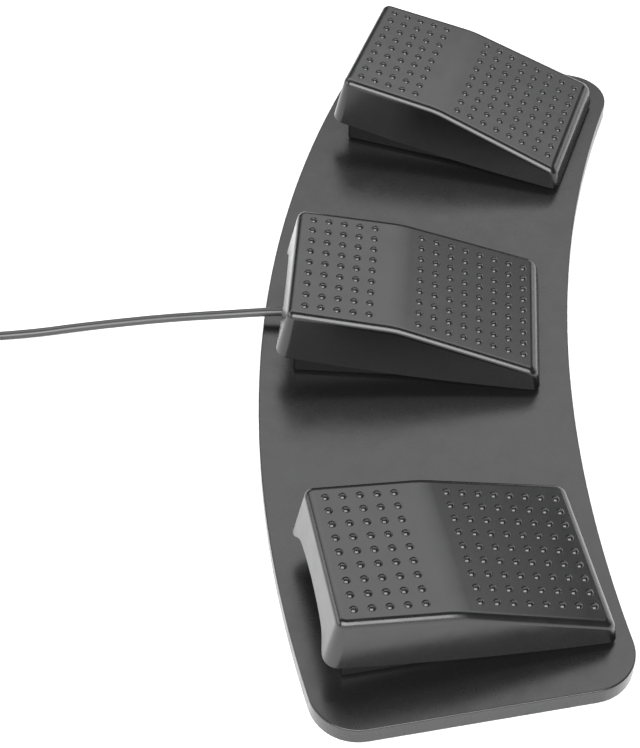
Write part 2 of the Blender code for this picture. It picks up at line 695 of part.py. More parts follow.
def screw_mesh(x, y, seat_z, tip_z):
    """A pan-head screw standing in its seat; the tip may point up or down."""
    up = 1 if seat_z > tip_z else -1
    head_z = seat_z + up * SCREW_HEAD_HEIGHT
    screw = cylinder("screw", SCREW_HEAD_RADIUS, (x, y, seat_z), (x, y, head_z), 16,
                     SCREW_HEAD_TOP_RADIUS)
    join(screw, cylinder("shank", SCREW_SHANK, (x, y, seat_z + up * 0.3 * MM), (x, y, tip_z), 12))
    cut(screw, cylinder("recess", RECESS_RADIUS, (x, y, head_z - up * RECESS_DEPTH),
                        (x, y, head_z + up * MM), 4))
    return shaped_mesh(screw)


def build_pedals(empties, materials):
    pivot = (0.0, PIVOT_Y, PIVOT_Z)
    shared = {
        "pedal_cover": (cover_mesh(), "pedal_plastic", pivot),
        "pedal_tray": (tray_mesh(), "tray_plastic", (0, 0, 0)),
        "hinge_pin": (pin_mesh(), "zinc_steel", pivot),
        "return_spring": (spring_mesh(), "spring_steel", (0, SPRING_Y, TRAY_FLOOR_TOP)),
        "switch_body": (switch_body_mesh(), "switch_plastic", (0, 0, 0)),
        "switch_lever": (lever_mesh(), "zinc_steel", (0.0, LEVER_PIVOT_Y, LEVER_PIVOT_Z)),
        "switch_plunger": (plunger_mesh(), "plunger_plastic", (0.0, PLUNGER_Y, SWITCH_TOP_Z)),
        "bump_stop": (stop_mesh(), "rubber", (STOP_X, STOP_Y, TRAY_FLOOR_TOP)),
    }
    for end, x, y in TRAY_SCREWS:
        mesh = screw_mesh(x, y, TRAY_FLOOR_TOP + GAP, TRAY_SCREW_TIP_Z)
        shared[end + "_screw"] = (mesh, "zinc_steel", (x, y, TRAY_FLOOR_TOP))
    for side, sign in SIDES:
        for piece, (mesh, material, origin) in shared.items():
            place(side + "_" + piece, mesh, materials[material], empties[side], origin)
        if sign:
            board = board_mesh(SWITCH_BOARD_HALF_WIDTH)
            place(side + "_switch_board", board, materials["board"], empties[side])
    board = board_mesh(CONTROL_BOARD_HALF_WIDTH)
    place("control_board", board, materials["board"], empties["middle"])
    chip_low = TRAY_FLOOR_TOP + 2 * GAP + BOARD_THICKNESS
    chip = box("chip", (CHIP_X, CHIP_Y, chip_low),
               (CHIP_X + CHIP_SIZE, CHIP_Y + CHIP_SIZE, chip_low + CHIP_THICKNESS))
    place("controller_chip", shaped_mesh(chip), materials["chip"], empties["middle"])


# The base

def corner_centre(arc_centre_y, distance):
    """Centre of the +X corner arc that touches the end edge and a long edge.

    The long edge's own centre lies on the Y axis, and distance is how far the corner's centre is
    from it. Also returns the end edge's outward normal.
    """
    direction = Vector((math.sin(OUTER_PEDAL_YAW), math.cos(OUTER_PEDAL_YAW)))
    normal = Vector((direction.y, -direction.x))
    pedal = Vector((OUTER_PEDAL_X, PLAN_SHIFT_Y - OUTER_PEDAL_BACK))
    foot = pedal + normal * (END_OFFSET - CORNER_RADIUS)
    offset = foot - Vector((0.0, arc_centre_y))
    along = offset.dot(direction)
    reach = math.sqrt(along ** 2 - offset.length_squared + distance ** 2)
    return foot + direction * (reach - along), normal


def base_outline(inset):
    """The crescent outline of the base, moved inwards by inset, anticlockwise."""
    rear_corner, normal = corner_centre(REAR_CENTRE_Y, REAR_RADIUS - CORNER_RADIUS)
    front_corner, _ = corner_centre(FRONT_CENTRE_Y, FRONT_RADIUS + CORNER_RADIUS)
    corner = CORNER_RADIUS - inset
    end_angle = math.atan2(normal.y, normal.x)
    rear_angle = math.atan2(rear_corner.y - REAR_CENTRE_Y, rear_corner.x)
    front_angle = math.atan2(front_corner.y - FRONT_CENTRE_Y, front_corner.x)
    right = arc((0.0, FRONT_CENTRE_Y), FRONT_RADIUS + inset, math.pi / 2, front_angle, ARC_STEPS)
    right += arc(front_corner, corner, front_angle - math.pi, end_angle, CORNER_STEPS)[1:]
    right += arc(rear_corner, corner, end_angle, rear_angle, CORNER_STEPS)
    right += arc((0.0, REAR_CENTRE_Y), REAR_RADIUS - inset, rear_angle, math.pi / 2, ARC_STEPS)[1:]
    left = [(-x, y) for x, y in reversed(right[1:-1])]
    return right + left


def base_screw_points():
    """Where the bottom plate is screwed on: along the crescent between the pedals and at its ends."""
    return [
        (side + "_" + name, Vector((sign * x, y)))
        for side, sign in SIDES if sign
        for name, x, y in BASE_SCREWS
    ]


def in_base(empty, x, y, z=0.0):
    """A point of a pedal's frame, in the object's frame."""
    return empty.matrix_world @ Vector((x, y, z))


def base_shell_mesh(empties):
    """The crescent shell: a deck with a wall round it, screw bosses below, and its holes."""
    shell = extruded_outline("base_shell", base_outline(0.0), WALL_FOOT_Z, DECK_Z)
    bevel(shell, 0.5 * MM, 1, 60.0)
    deck_low = DECK_Z - DECK_THICKNESS
    cut(shell, extruded_outline("base_cavity", base_outline(WALL_THICKNESS), -WALL_FOOT_Z, deck_low))
    embed = deck_low + DECK_THICKNESS / 2
    for _, spot in base_screw_points():
        low = WALL_FOOT_Z + BOTTOM_PLATE_THICKNESS + GAP
        join(shell, cylinder("boss", BASE_BOSS_RADIUS, (*spot, low), (*spot, embed), 20))
    for empty in empties.values():
        for _, x, y in TRAY_SCREWS:
            spot = in_base(empty, x, y).xy
            join(shell, cylinder("tray_boss", TRAY_BOSS_RADIUS, (*spot, DECK_Z - TRAY_BOSS_LENGTH),
                                 (*spot, embed), 20))
    for _, spot in base_screw_points():
        cut(shell, cylinder("boss_hole", SCREW_HOLE, (*spot, 0.0), (*spot, embed - 0.4 * MM), 16))
    for empty in empties.values():
        for _, x, y in TRAY_SCREWS:
            spot = in_base(empty, x, y).xy
            cut(shell, cylinder("tray_boss_hole", SCREW_HOLE, (*spot, 0.0), (*spot, DECK_Z + MM), 16))
    for spot in lead_holes(empties):
        cut(shell, cylinder("lead_hole", LEAD_HOLE_RADIUS, (*spot, 0.0), (*spot, DECK_Z + MM), 12))
    return shaped_mesh(shell)


def lead_holes(empties):
    """Where the leads pass through the deck: one hole at each outer pedal, two at the middle one."""
    return [
        in_base(empties["left"], 0.0, LEAD_HOLE_Y).xy,
        in_base(empties["right"], 0.0, LEAD_HOLE_Y).xy,
        in_base(empties["middle"], -INNER_LEAD_X, LEAD_HOLE_Y).xy,
        in_base(empties["middle"], INNER_LEAD_X, LEAD_HOLE_Y).xy,
    ]


def bottom_plate_mesh():
    outline = base_outline(WALL_THICKNESS + GAP)
    plate = extruded_outline("bottom_plate", outline, WALL_FOOT_Z, WALL_FOOT_Z + BOTTOM_PLATE_THICKNESS)
    for _, spot in base_screw_points():
        cut(plate, cylinder("plate_hole", SCREW_HOLE, (*spot, 0.0), (*spot, 5 * MM), 16))
    return shaped_mesh(plate)


def lead_mesh(empties, side, sign):
    """The lead from an outer pedal's board, down through the deck and along to the control board."""
    outer = in_base(empties[side], 0.0, LEAD_HOLE_Y).xy
    inner = in_base(empties["middle"], sign * INNER_LEAD_X, LEAD_HOLE_Y).xy
    top = DECK_Z + TRAY_FLOOR_TOP
    points = [
        (*outer, top),
        (*outer, LEAD_Z + 2 * LEAD_BEND),
        (outer.x - sign * 0.5 * LEAD_BEND, outer.y, LEAD_Z + 0.5 * LEAD_BEND),
        (outer.x - sign * 2 * LEAD_BEND, outer.y, LEAD_Z),
        (sign * 96.0 * MM, 20.0 * MM, LEAD_Z),
        (sign * 62.0 * MM, 33.0 * MM, LEAD_Z),
        (sign * 34.0 * MM, 33.0 * MM, LEAD_Z),
        (inner.x + sign * 2 * LEAD_BEND, inner.y, LEAD_Z),
        (inner.x + sign * 0.5 * LEAD_BEND, inner.y, LEAD_Z + 0.5 * LEAD_BEND),
        (*inner, LEAD_Z + 2 * LEAD_BEND),
        (*inner, top),
    ]
    return shaped_mesh(tube("lead", smooth_route(points, 3.5 * MM), LEAD_RADIUS, 1))


def foot_points():
    """Rubber feet near the base's corners and along its middle."""
    points = [(name, Vector((0.0, y))) for name, y in MIDDLE_FEET]
    for side, sign in SIDES:
        if sign:
            points += [(side + "_" + name, Vector((sign * x, y))) for name, x, y in SIDE_FEET]
    return points


def foot_mesh(spot):
    foot = cylinder("foot", FOOT_RADIUS, (*spot, 0.0), (*spot, FOOT_HEIGHT), 20)
    bevel(foot, 0.3 * MM, 1)
    return shaped_mesh(foot)


def build_base(empties, materials):
    place("base_shell", base_shell_mesh(empties), materials["base_plastic"])
    place("bottom_plate", bottom_plate_mesh(), materials["plate_steel"])
    for name, spot in base_screw_points():
        mesh = screw_mesh(*spot, WALL_FOOT_Z - GAP, BASE_SCREW_TIP_Z)
        place(name + "_base_screw", mesh, materials["zinc_steel"])
    for name, spot in foot_points():
        place(name + "_foot", foot_mesh(spot), materials["rubber"])
    for side, sign in SIDES:
        if sign:
            place(side + "_lead", lead_mesh(empties, side, sign), materials["cable_jacket"])


# The cable

def grommet_mesh():
    """The moulded strain relief in the middle tray's toe wall, with a flange outside the wall."""
    wall = TRAY_TOE_Y
    grommet = cylinder("grommet", GROMMET_RADIUS, (0, wall - GROMMET_REACH, CABLE_EXIT_Z),
                       (0, wall + 0.8 * MM, CABLE_EXIT_Z), 20)
    join(grommet, cylinder("flange", FLANGE_RADIUS, (0, wall + GAP, CABLE_EXIT_Z),
                           (0, GROMMET_OUTER_Y, CABLE_EXIT_Z), 24, FLANGE_TIP_RADIUS))
    return shaped_mesh(grommet)


def cable_mesh():
    route = smooth_route([Vector(point) * MM for point in CABLE_ROUTE], CABLE_STEP)
    return shaped_mesh(tube("cable", route, CABLE_RADIUS, 2))


def coil_mesh():
    """The outer shape of the coiled cable: a ring with rounded edges."""
    inner = COIL_MEAN_RADIUS - COIL_HALF_WIDTH
    outer = COIL_MEAN_RADIUS + COIL_HALF_WIDTH
    round_off = CABLE_RADIUS
    profile = [
        (outer - round_off, COIL_HIGH_Z),
        (outer, COIL_HIGH_Z - round_off),
        (outer, COIL_LOW_Z + round_off),
        (outer - round_off, COIL_LOW_Z),
        (inner + round_off, COIL_LOW_Z),
        (inner, COIL_LOW_Z + round_off),
        (inner, COIL_HIGH_Z - round_off),
        (inner + round_off, COIL_HIGH_Z),
    ]
    return shaped_mesh(turned("coil", profile, (*COIL_CENTRE, 0.0), 40))


def tie_mesh():
    """A strap round the coil's bundle, wide enough for the ring's curve inside it."""
    ring_inner = COIL_MEAN_RADIUS - COIL_HALF_WIDTH
    low_y = COIL_CENTRE.y + math.sqrt(ring_inner ** 2 - TIE_HALF_WIDTH ** 2) - GAP
    high_y = COIL_CENTRE.y + COIL_MEAN_RADIUS + COIL_HALF_WIDTH + GAP
    low_x = COIL_CENTRE.x - TIE_HALF_WIDTH
    high_x = COIL_CENTRE.x + TIE_HALF_WIDTH
    tie = box("tie", (low_x, low_y - TIE_THICKNESS, COIL_LOW_Z - GAP - TIE_THICKNESS),
              (high_x, high_y + TIE_THICKNESS, COIL_HIGH_Z + GAP + TIE_THICKNESS))
    bevel(tie, 0.6 * MM, 2)
    cut(tie, box("tie_opening", (low_x - MM, low_y, COIL_LOW_Z - GAP),
                 (high_x + MM, high_y, COIL_HIGH_Z + GAP)))
    return shaped_mesh(tie)


def plug_grip_mesh():
    """The plug's moulded grip, with the tapered tail that the cable enters."""
    grip = box(
        "plug_grip",
        (PLUG_BACK_X - PLUG_GRIP_LENGTH, PLUG_Y - PLUG_GRIP_HALF_WIDTH, PLUG_Z - PLUG_GRIP_HALF_HEIGHT),
        (PLUG_BACK_X, PLUG_Y + PLUG_GRIP_HALF_WIDTH, PLUG_Z + PLUG_GRIP_HALF_HEIGHT),
    )
    bevel(grip, 1.4 * MM, 3)
    join(grip, cylinder("plug_tail", PLUG_TAIL_RADIUS, (PLUG_BACK_X - MM, PLUG_Y, PLUG_Z),
                        (PLUG_BACK_X + PLUG_TAIL_LENGTH, PLUG_Y, PLUG_Z), 20, PLUG_TAIL_TIP_RADIUS))
    return shaped_mesh(grip)


def plug_shell_mesh():
    """The plug's metal shell; its mouth is open above the contact tongue, which is left solid."""
    back = PLUG_BACK_X - PLUG_GRIP_LENGTH - GAP
    front = back - PLUG_SHELL_LENGTH
    half_width = PLUG_SHELL_HALF_WIDTH
    shell = box("plug_shell", (front, PLUG_Y - half_width, PLUG_Z - PLUG_SHELL_HALF_HEIGHT),
                (back, PLUG_Y + half_width, PLUG_Z + PLUG_SHELL_HALF_HEIGHT))
    mouth_half = half_width - PLUG_SHELL_WALL
    cut(shell, box("plug_mouth", (front - MM, PLUG_Y - mouth_half, PLUG_Z - 0.1 * MM),
                   (front + PLUG_MOUTH_DEPTH, PLUG_Y + mouth_half,
                    PLUG_Z + PLUG_SHELL_HALF_HEIGHT - PLUG_SHELL_WALL)))
    return shaped_mesh(shell)


def build_cable(empties, materials):
    place("cable_grommet", grommet_mesh(), materials["rubber"], empties["middle"])
    place("usb_cable", cable_mesh(), materials["cable_jacket"])
    place("cable_coil", coil_mesh(), materials["cable_jacket"])
    place("coil_tie", tie_mesh(), materials["rubber"])
    place("usb_plug_grip", plug_grip_mesh(), materials["cable_jacket"])
    place("usb_plug_shell", plug_shell_mesh(), materials["usb_shell"])


def main():
    clear_scene()
    new_collection(PARTS)
    new_collection(CUTTERS)
    materials = make_materials()
    empties = pedal_origins()
    build_pedals(empties, materials)
    build_base(empties, materials)
    build_cable(empties, materials)


main()
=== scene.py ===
"""The looks of a three-pedal USB foot switch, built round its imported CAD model.

Metres, +Z up. +X runs along the pedals to the user's right, and +Y from the user's heels to their
toes. The cable leaves at +Y.
"""

import json
import math

import bmesh
import bpy
import numpy as np
from mathutils import Matrix, Vector


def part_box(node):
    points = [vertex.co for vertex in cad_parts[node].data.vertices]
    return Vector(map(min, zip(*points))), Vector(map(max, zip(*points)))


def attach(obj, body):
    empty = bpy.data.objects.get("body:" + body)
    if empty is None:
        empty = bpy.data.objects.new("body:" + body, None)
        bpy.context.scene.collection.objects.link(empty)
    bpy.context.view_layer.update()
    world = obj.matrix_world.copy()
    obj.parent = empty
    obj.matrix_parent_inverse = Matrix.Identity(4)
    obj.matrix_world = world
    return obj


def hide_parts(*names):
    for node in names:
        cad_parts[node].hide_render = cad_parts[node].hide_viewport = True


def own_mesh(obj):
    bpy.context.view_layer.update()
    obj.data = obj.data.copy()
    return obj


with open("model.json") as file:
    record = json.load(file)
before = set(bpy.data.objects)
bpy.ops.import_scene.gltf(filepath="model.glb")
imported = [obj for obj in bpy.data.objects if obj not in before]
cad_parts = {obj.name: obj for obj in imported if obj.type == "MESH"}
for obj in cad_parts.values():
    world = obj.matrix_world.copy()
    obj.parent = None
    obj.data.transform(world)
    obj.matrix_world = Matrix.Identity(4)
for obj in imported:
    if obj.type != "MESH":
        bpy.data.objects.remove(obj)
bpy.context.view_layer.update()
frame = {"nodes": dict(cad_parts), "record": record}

MM = 0.001

# The base's outline and heights, as in the CAD model
PLAN_SHIFT_Y = 16.9 * MM
REAR_RADIUS = 513.7 * MM
REAR_CENTRE_Y = PLAN_SHIFT_Y - 461.3 * MM
FRONT_RADIUS = 548.5 * MM
FRONT_CENTRE_Y = PLAN_SHIFT_Y - 615.2 * MM
END_OFFSET = 48.5 * MM
CORNER_RADIUS = 17.0 * MM
OUTER_PEDAL_X = 128.5 * MM
OUTER_PEDAL_BACK = 18.6 * MM
OUTER_PEDAL_YAW = math.radians(15.0)
ARC_STEPS = 56
CORNER_STEPS = 14
WALL_FOOT_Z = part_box("base_shell")[0][2]
DECK_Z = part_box("base_shell")[1][2]
DECK_THICKNESS = 2.2 * MM
WALL_THICKNESS = 2.5 * MM
FOOT_CHAMFER = 0.2 * MM              # inside the wall's foot
FOOT_ROUNDING = 0.5 * MM             # outside the wall's foot
EDGE_ROUNDING = 0.6 * MM
EDGE_STEPS = 6

# One pedal cover, in the pedal's own frame: origin on the deck under the bend, +Y to the toes
SIDES = ("left", "middle", "right")
PIVOT = Vector((0.0, -44.8 * MM, 6.0 * MM))
TOE_SLOPE = math.radians(7.1)
HEEL_SLOPE = math.radians(18.1)
BEND_Z = 28.2 * MM
BEND_RADIUS = 40.0 * MM
BEND_STEPS = 8
TOE_TOP_Y = 40.5 * MM
TOE_BASE_Y = 45.2 * MM
HEEL_TOP_Y = -53.7 * MM
HEEL_BASE_Y = -55.3 * MM
HALF_WIDTH_TOP = 29.3 * MM
HALF_WIDTH_BASE = 32.3 * MM
COVER_WALL = 2.2 * MM
TOP_ROUNDING = 2.6 * MM
TOP_ROUNDING_STEPS = 8
ROOF_ROUNDING = 1.0 * MM             # inside, where roof meets wall
ROOF_ROUNDING_STEPS = 3
LEAST_CORNER_RADIUS = 0.2 * MM
TOE_CORNER_TOP_RADIUS = 3.1 * MM
TOE_CORNER_BASE_RADIUS = 4.9 * MM
HEEL_CORNER_RADIUS = 3.2 * MM
CORNER_POINTS = 9
TOE_WALL_STEPS = 24                  # in half a wall
TOE_SIDE_STEPS = 7
HEEL_SIDE_STEPS = 9
HEEL_WALL_STEPS = 5
TOE_CORNER_LENGTH = 7.0 * MM         # how much of a side belongs to its corner
HEEL_CORNER_LENGTH = 5.0 * MM
RIM_ROUNDING = 0.35 * MM
SKIRT_HEEL_Z = 1.8 * MM
SKIRT_BEND_Z = 6.2 * MM
SKIRT_TOE_Z = 12.3 * MM
ARCH_HALF_WIDTH = 25.2 * MM
ARCH_RISE = 7.0 * MM
ARCH_BLEND = 7.5 * MM

# The raised dots
DOT_ROWS = 9
DOT_ROW_PITCH = 5.9 * MM
DOT_PITCH = 6.05 * MM
TOE_DOT_START = 10.5 * MM
TOE_DOT_COLUMNS = 5
HEEL_DOT_START = 8.5 * MM
HEEL_DOT_COLUMNS = 8
DOT_RADIUS = 1.5 * MM
DOT_HEIGHT = 0.95 * MM
DOT_SIDES = 16
DOT_RINGS = 6
DOT_SUNK = math.radians(6.0)         # how far its sphere goes on below the surface
DOT_CROWN = 0.05                     # the angle of the small flat on top

# What hangs under a cover's roof, as in the CAD model; the profiles are (radius, height) in mm
SPRING_Y = 26.0 * MM
SEAT_PROFILE = (
    (0.5, 23.2), (2.9, 23.2), (3.5, 23.7), (3.7, 26.6), (4.1, 27.0), (6.2, 27.0), (6.5, 27.3),
)
STOP_PLACE = (-16.0 * MM, 28.0 * MM)
STOP_PROFILE = ((0.5, 19.2), (2.6, 19.2), (3.0, 19.6), (3.0, 24.0))
POST_SIDES = 28
KNUCKLE_X = 22.2 * MM
KNUCKLE_HALF_WIDTH = 2.2 * MM
KNUCKLE_RADIUS = 3.2 * MM
PIN_HOLE_RADIUS = 1.8 * MM
RIB_PLACE = (5.0 * MM, 21.26 * MM)
RIB_TIP_RADIUS = 1.0 * MM
RIB_HALF_WIDTH = 2.5 * MM
ROUND_END_STEPS = 16                 # along the lower end of a knuckle or rib
ROUND_END_TOP_POINTS = 9

# The return springs
SPRING_RADIUS = 5.0 * MM
SPRING_WIRE_RADIUS = 0.5 * MM
SPRING_LOW_Z = 3.1 * MM
SPRING_HIGH_Z = 26.2 * MM
SPRING_END_TURNS = 1.0
SPRING_OPEN_TURNS = 6.0
SPRING_TURN_STEPS = 26
SPRING_WIRE_SIDES = 10

# The cable
CABLE_DIAMETER = 3.5 * MM
CABLE_EXIT = Vector((0.0, 57.7 * MM, 14.2 * MM))
CABLE_STEP = 3.0 * MM
ROUTE_STEPS = 24                     # of the smooth curve between two points of the route
CABLE_ROUTE = (
    (0.0, 58.0, 14.2),
    (-0.2, 64.0, 14.1),
    (-0.7, 72.0, 13.5),
    (-0.9, 84.0, 11.8),
    (-0.6, 98.0, 9.3),
    (-0.6, 112.0, 6.8),
    (-1.4, 128.0, 4.2),
    (-3.3, 144.0, 2.4),
    (-6.3, 158.0, 1.8),
    (-9.1, 172.0, 1.8),
    (-10.8, 183.0, 2.1),
    (-11.4, 194.0, 2.8),
)
COIL_CENTRE = Vector((-37.85 * MM, 208.0 * MM))
COIL_OUTER_TURN = 26.45 * MM
COIL_PITCH = 3.6 * MM
COIL_LOW_TURN_Z = 2.8 * MM
COIL_POINTS = 44                     # in each turn
# (column from the outside, layer from the bottom) of each turn, in winding order
COIL_CELLS = (
    (0, 0), (1, 0), (2, 0), (3, 0),
    (3, 1), (3, 2), (2, 2), (2, 1),
    (1, 1), (1, 2), (0, 2), (0, 1),
)
COIL_LEAD = math.radians(34.0)       # the first change of cell is this much before a full turn
COIL_SHIFT = math.radians(20.0)      # each later one comes this much earlier again
COIL_CHANGE = math.radians(76.0)     # the length of a change of cell
# How the cable goes from the coil to the plug: (share of the way along X, share of the way in Z)
LEAD_OUT = ((0.35, 0.2), (0.75, 0.75), (1.0, 1.0))
LEAD_OUT_DEPTH = 3.0 * MM            # how far it goes into the plug's tail

# The plug's moulded grip
GRIP_BODY_LENGTH = 26.0 * MM
GRIP_BODY_STEPS = 26
GRIP_BODY_POWER = 5.0                # of the superellipse that is its section
GRIP_END_ROUNDING = 1.1 * MM
GROOVE_START, GROOVE_END = 0.18, 0.72    # shares of the body's length
GROOVES = 6
GROOVE_DEPTH = 0.45 * MM
TAIL_STEPS = 8
TAIL_RADIUS = 3.4 * MM
TAIL_TAPER = 1.2 * MM
TAIL_RIB = 0.25 * MM
GRIP_SIDES = 40

# Camera: where it stands, what it looks at on the floor, its small roll and its lens
CAMERA_PLACE = Vector((-0.5121, 0.0134, 0.5282))
CAMERA_TARGET = Vector((-0.0208, 0.0435, 0.0))
CAMERA_ROLL = math.radians(0.42)
CAMERA_LENS = 89.5
CAMERA_SENSOR = 36.0
CAMERA_SHIFT = (-0.0077, 0.0045)
CAMERA_CLIP = (0.01, 20.0)

# Area lights: name, place, target, size, power in watts and spread in degrees
LIGHTS = (
    ("top_softbox", (1.15, 0.17, 1.4), (1.15, 0.17, 0.0), (1.6, 3.06), 37.3, 140.0),
    ("side_softbox", (-0.2, 1.5, 0.5), (-0.1, 0.05, 0.02), (1.6, 0.8), 15.5, 180.0),
    ("front_softbox", (-1.15, 0.0, 1.08), (0.0, 0.0, 0.02), (2.0, 1.0), 62.0, 180.0),
    ("front_fill", (-1.5, 0.0, 0.40), (0.0, 0.0, 0.02), (2.4, 0.7), 10.0, 180.0),
    ("heel_softbox", (1.0, -1.2, 0.28), (0.0, 0.0, 0.02), (1.6, 0.35), 4.2, 180.0),
)
WORLD_COLOUR = (0.95, 0.97, 1.0, 1.0)
WORLD_STRENGTH = 0.25
FLOOR_HALF_SIZE = 6.0


# Helpers

def arc(centre, radius, start, end, steps):
    return [
        (centre[0] + radius * math.cos(angle), centre[1] + radius * math.sin(angle))
        for angle in np.linspace(start, end, steps + 1)
    ]


def circle(centre, radius, sides):
    """The corners of a regular polygon in plan."""
    return arc(centre, radius, 0.0, 2 * math.pi, sides)[:-1]


def link(item):
    bpy.context.scene.collection.objects.link(item)
    return item


def new_object(name, mesh_data, material):
    bmesh.ops.recalc_face_normals(mesh_data, faces=mesh_data.faces[:])
    mesh = bpy.data.meshes.new(name)
    mesh_data.to_mesh(mesh)
    mesh_data.free()
    mesh.materials.append(material)
    return link(bpy.data.objects.new(name, mesh))


def loft(mesh_data, rings, closed=True):
    """Skins rings of equal length one after another; the two ends are capped if closed."""
    loops = [[mesh_data.verts.new(point) for point in ring] for ring in rings]
    for first, second in zip(loops, loops[1:]):
        for i in range(len(first)):
            j = (i + 1) % len(first)
            mesh_data.faces.new((first[i], first[j], second[j], second[i]))
    if closed:
        mesh_data.faces.new(reversed(loops[0]))
        mesh_data.faces.new(loops[-1])
    return loops


def smooth_shading(item, angle=35.0):
    item.data.shade_smooth()
    item.data.set_sharp_from_angle(angle=math.radians(angle))
    normals = item.modifiers.new("face_normals", "WEIGHTED_NORMAL")
    normals.keep_sharp = True


# Camera, floor and light

def make_camera():
    data = bpy.data.cameras.new("camera")
    data.lens = CAMERA_LENS
    data.sensor_width = CAMERA_SENSOR
    data.shift_x, data.shift_y = CAMERA_SHIFT
    data.clip_start, data.clip_end = CAMERA_CLIP
    camera = link(bpy.data.objects.new("camera", data))
    camera.location = CAMERA_PLACE
    aim = (CAMERA_TARGET - CAMERA_PLACE).to_track_quat("-Z", "Y").to_matrix()
    camera.rotation_euler = (aim @ Matrix.Rotation(CAMERA_ROLL, 3, "Z")).to_euler()
    bpy.context.scene.camera = camera


def area_light(name, place, target, size, power, spread):
    data = bpy.data.lights.new(name, "AREA")
    data.energy = power
    data.shape = "RECTANGLE"
    data.size, data.size_y = size
    data.spread = math.radians(spread)
    light = link(bpy.data.objects.new(name, data))
    light.location = place
    direction = Vector(target) - Vector(place)
    light.rotation_euler = direction.to_track_quat("-Z", "Y").to_euler()
    light.visible_camera = False


def make_light():
    for settings in LIGHTS:
        area_light(*settings)
    world = bpy.data.worlds.new("world")
    world.use_nodes = True
    background = world.node_tree.nodes["Background"]
    background.inputs["Color"].default_value = WORLD_COLOUR
    background.inputs["Strength"].default_value = WORLD_STRENGTH
    bpy.context.scene.world = world
    bpy.context.scene.view_settings.view_transform = "Standard"


def make_floor():
    mesh_data = bmesh.new()
    bmesh.ops.create_grid(mesh_data, x_segments=1, y_segments=1, size=FLOOR_HALF_SIZE)
    floor = new_object("floor", mesh_data, plain_floor_material())


# Materials

class Nodes:
    """A short way to add linked shader nodes to one material."""

    def __init__(self, name):
        self.material = bpy.data.materials.new(name)
        self.material.use_nodes = True
        self.tree = self.material.node_tree
        self.shader = self.tree.nodes["Principled BSDF"]
        self.place = self.tree.nodes.new("ShaderNodeTexCoord").outputs["Object"]

    def add(self, kind, **inputs):
        node = self.tree.nodes.new(kind)
        for name, value in inputs.items():
            self.set(node.inputs[name.replace("_", " ")], value)
        return node

    def set(self, socket, value):
        if isinstance(value, bpy.types.NodeSocket):
            self.tree.links.new(value, socket)
        else:
            socket.default_value = value

    def noise(self, scale, detail=2.0, roughness=0.5, place=None):
        node = self.add("ShaderNodeTexNoise", Scale=scale, Detail=detail, Roughness=roughness)
        self.set(node.inputs["Vector"], place or self.place)
        return node.outputs["Fac"]

    def stretched(self, scale_x, scale_y):
        """The object's own coordinates, scaled so that noise draws out along X or Y."""
        node = self.add("ShaderNodeMapping", Vector=self.place)
        node.inputs["Scale"].default_value = (scale_x, scale_y, 1.0)
        return node.outputs["Vector"]

    def remap(self, value, low, high, new_low, new_high):
        node = self.add("ShaderNodeMapRange")
        self.set(node.inputs["Value"], value)
        for name, number in zip(("From Min", "From Max", "To Min", "To Max"),
                                (low, high, new_low, new_high)):
            node.inputs[name].default_value = number
        return node.outputs["Result"]

    def mix(self, share, first, second):
        node = self.tree.nodes.new("ShaderNodeMix")
        node.data_type = "RGBA"
        self.set(node.inputs["Factor"], share)
        self.set(node.inputs["A"], first)
        self.set(node.inputs["B"], second)
        return node.outputs["Result"]

    def maths(self, operation, first, second):
        node = self.tree.nodes.new("ShaderNodeMath")
        node.operation = operation
        self.set(node.inputs[0], first)
        self.set(node.inputs[1], second)
        return node.outputs["Value"]

    def bump(self, height, strength, distance, normal=None):
        node = self.add("ShaderNodeBump", Strength=strength, Distance=distance, Height=height)
        if normal is not None:
            self.set(node.inputs["Normal"], normal)
        return node.outputs["Normal"]

    def finish(self, colour, roughness, normal=None, metallic=0.0):
        self.set(self.shader.inputs["Base Color"], colour)
        self.set(self.shader.inputs["Roughness"], roughness)
        self.shader.inputs["Metallic"].default_value = metallic
        if normal is not None:
            self.set(self.shader.inputs["Normal"], normal)
        return self.material


def grey(value, tint=1.03):
    """A near-neutral colour, a touch cooler than grey."""
    return (value, value, value * tint, 1.0)


def plain_floor_material():
    nodes = Nodes("pale_floor")
    clouds = nodes.noise(3.0, 3.0)
    colour = nodes.mix(clouds, grey(0.86, 1.0), grey(0.90, 1.0))
    return nodes.finish(colour, nodes.remap(clouds, 0.3, 0.7, 0.55, 0.65))


def moulded_plastic(name, value, roughness, grain, specular=0.5):
    """Spark-eroded ABS: fine grain, slow changes of gloss, and faint scuffs."""
    nodes = Nodes(name)
    broad = nodes.noise(14.0, 3.0)
    medium = nodes.noise(120.0, 4.0, 0.6)
    fine = nodes.noise(1700.0, 3.0, 0.65)
    scuffs = nodes.noise(420.0, 5.0, 0.7, nodes.stretched(1.0, 0.12))
    scuffs = nodes.remap(scuffs, 0.62, 0.78, 0.0, 1.0)
    shift = nodes.remap(broad, 0.3, 0.7, 0.0, 1.0)
    colour = nodes.mix(shift, grey(value * 0.94), grey(value * 1.06))
    colour = nodes.mix(nodes.remap(fine, 0.35, 0.75, 0.0, 0.35), colour, grey(value * 1.35))
    colour = nodes.mix(nodes.maths("MULTIPLY", scuffs, 0.06), colour, grey(value * 2.4))
    gloss = nodes.remap(medium, 0.3, 0.7, roughness - 0.035, roughness + 0.035)
    gloss = nodes.maths("ADD", gloss, nodes.maths("MULTIPLY", scuffs, 0.05))
    normal = nodes.bump(fine, grain, 0.06 * MM)
    normal = nodes.bump(medium, 0.02, 0.25 * MM, normal)
    nodes.shader.inputs["Specular IOR Level"].default_value = specular
    return nodes.finish(colour, gloss, normal)


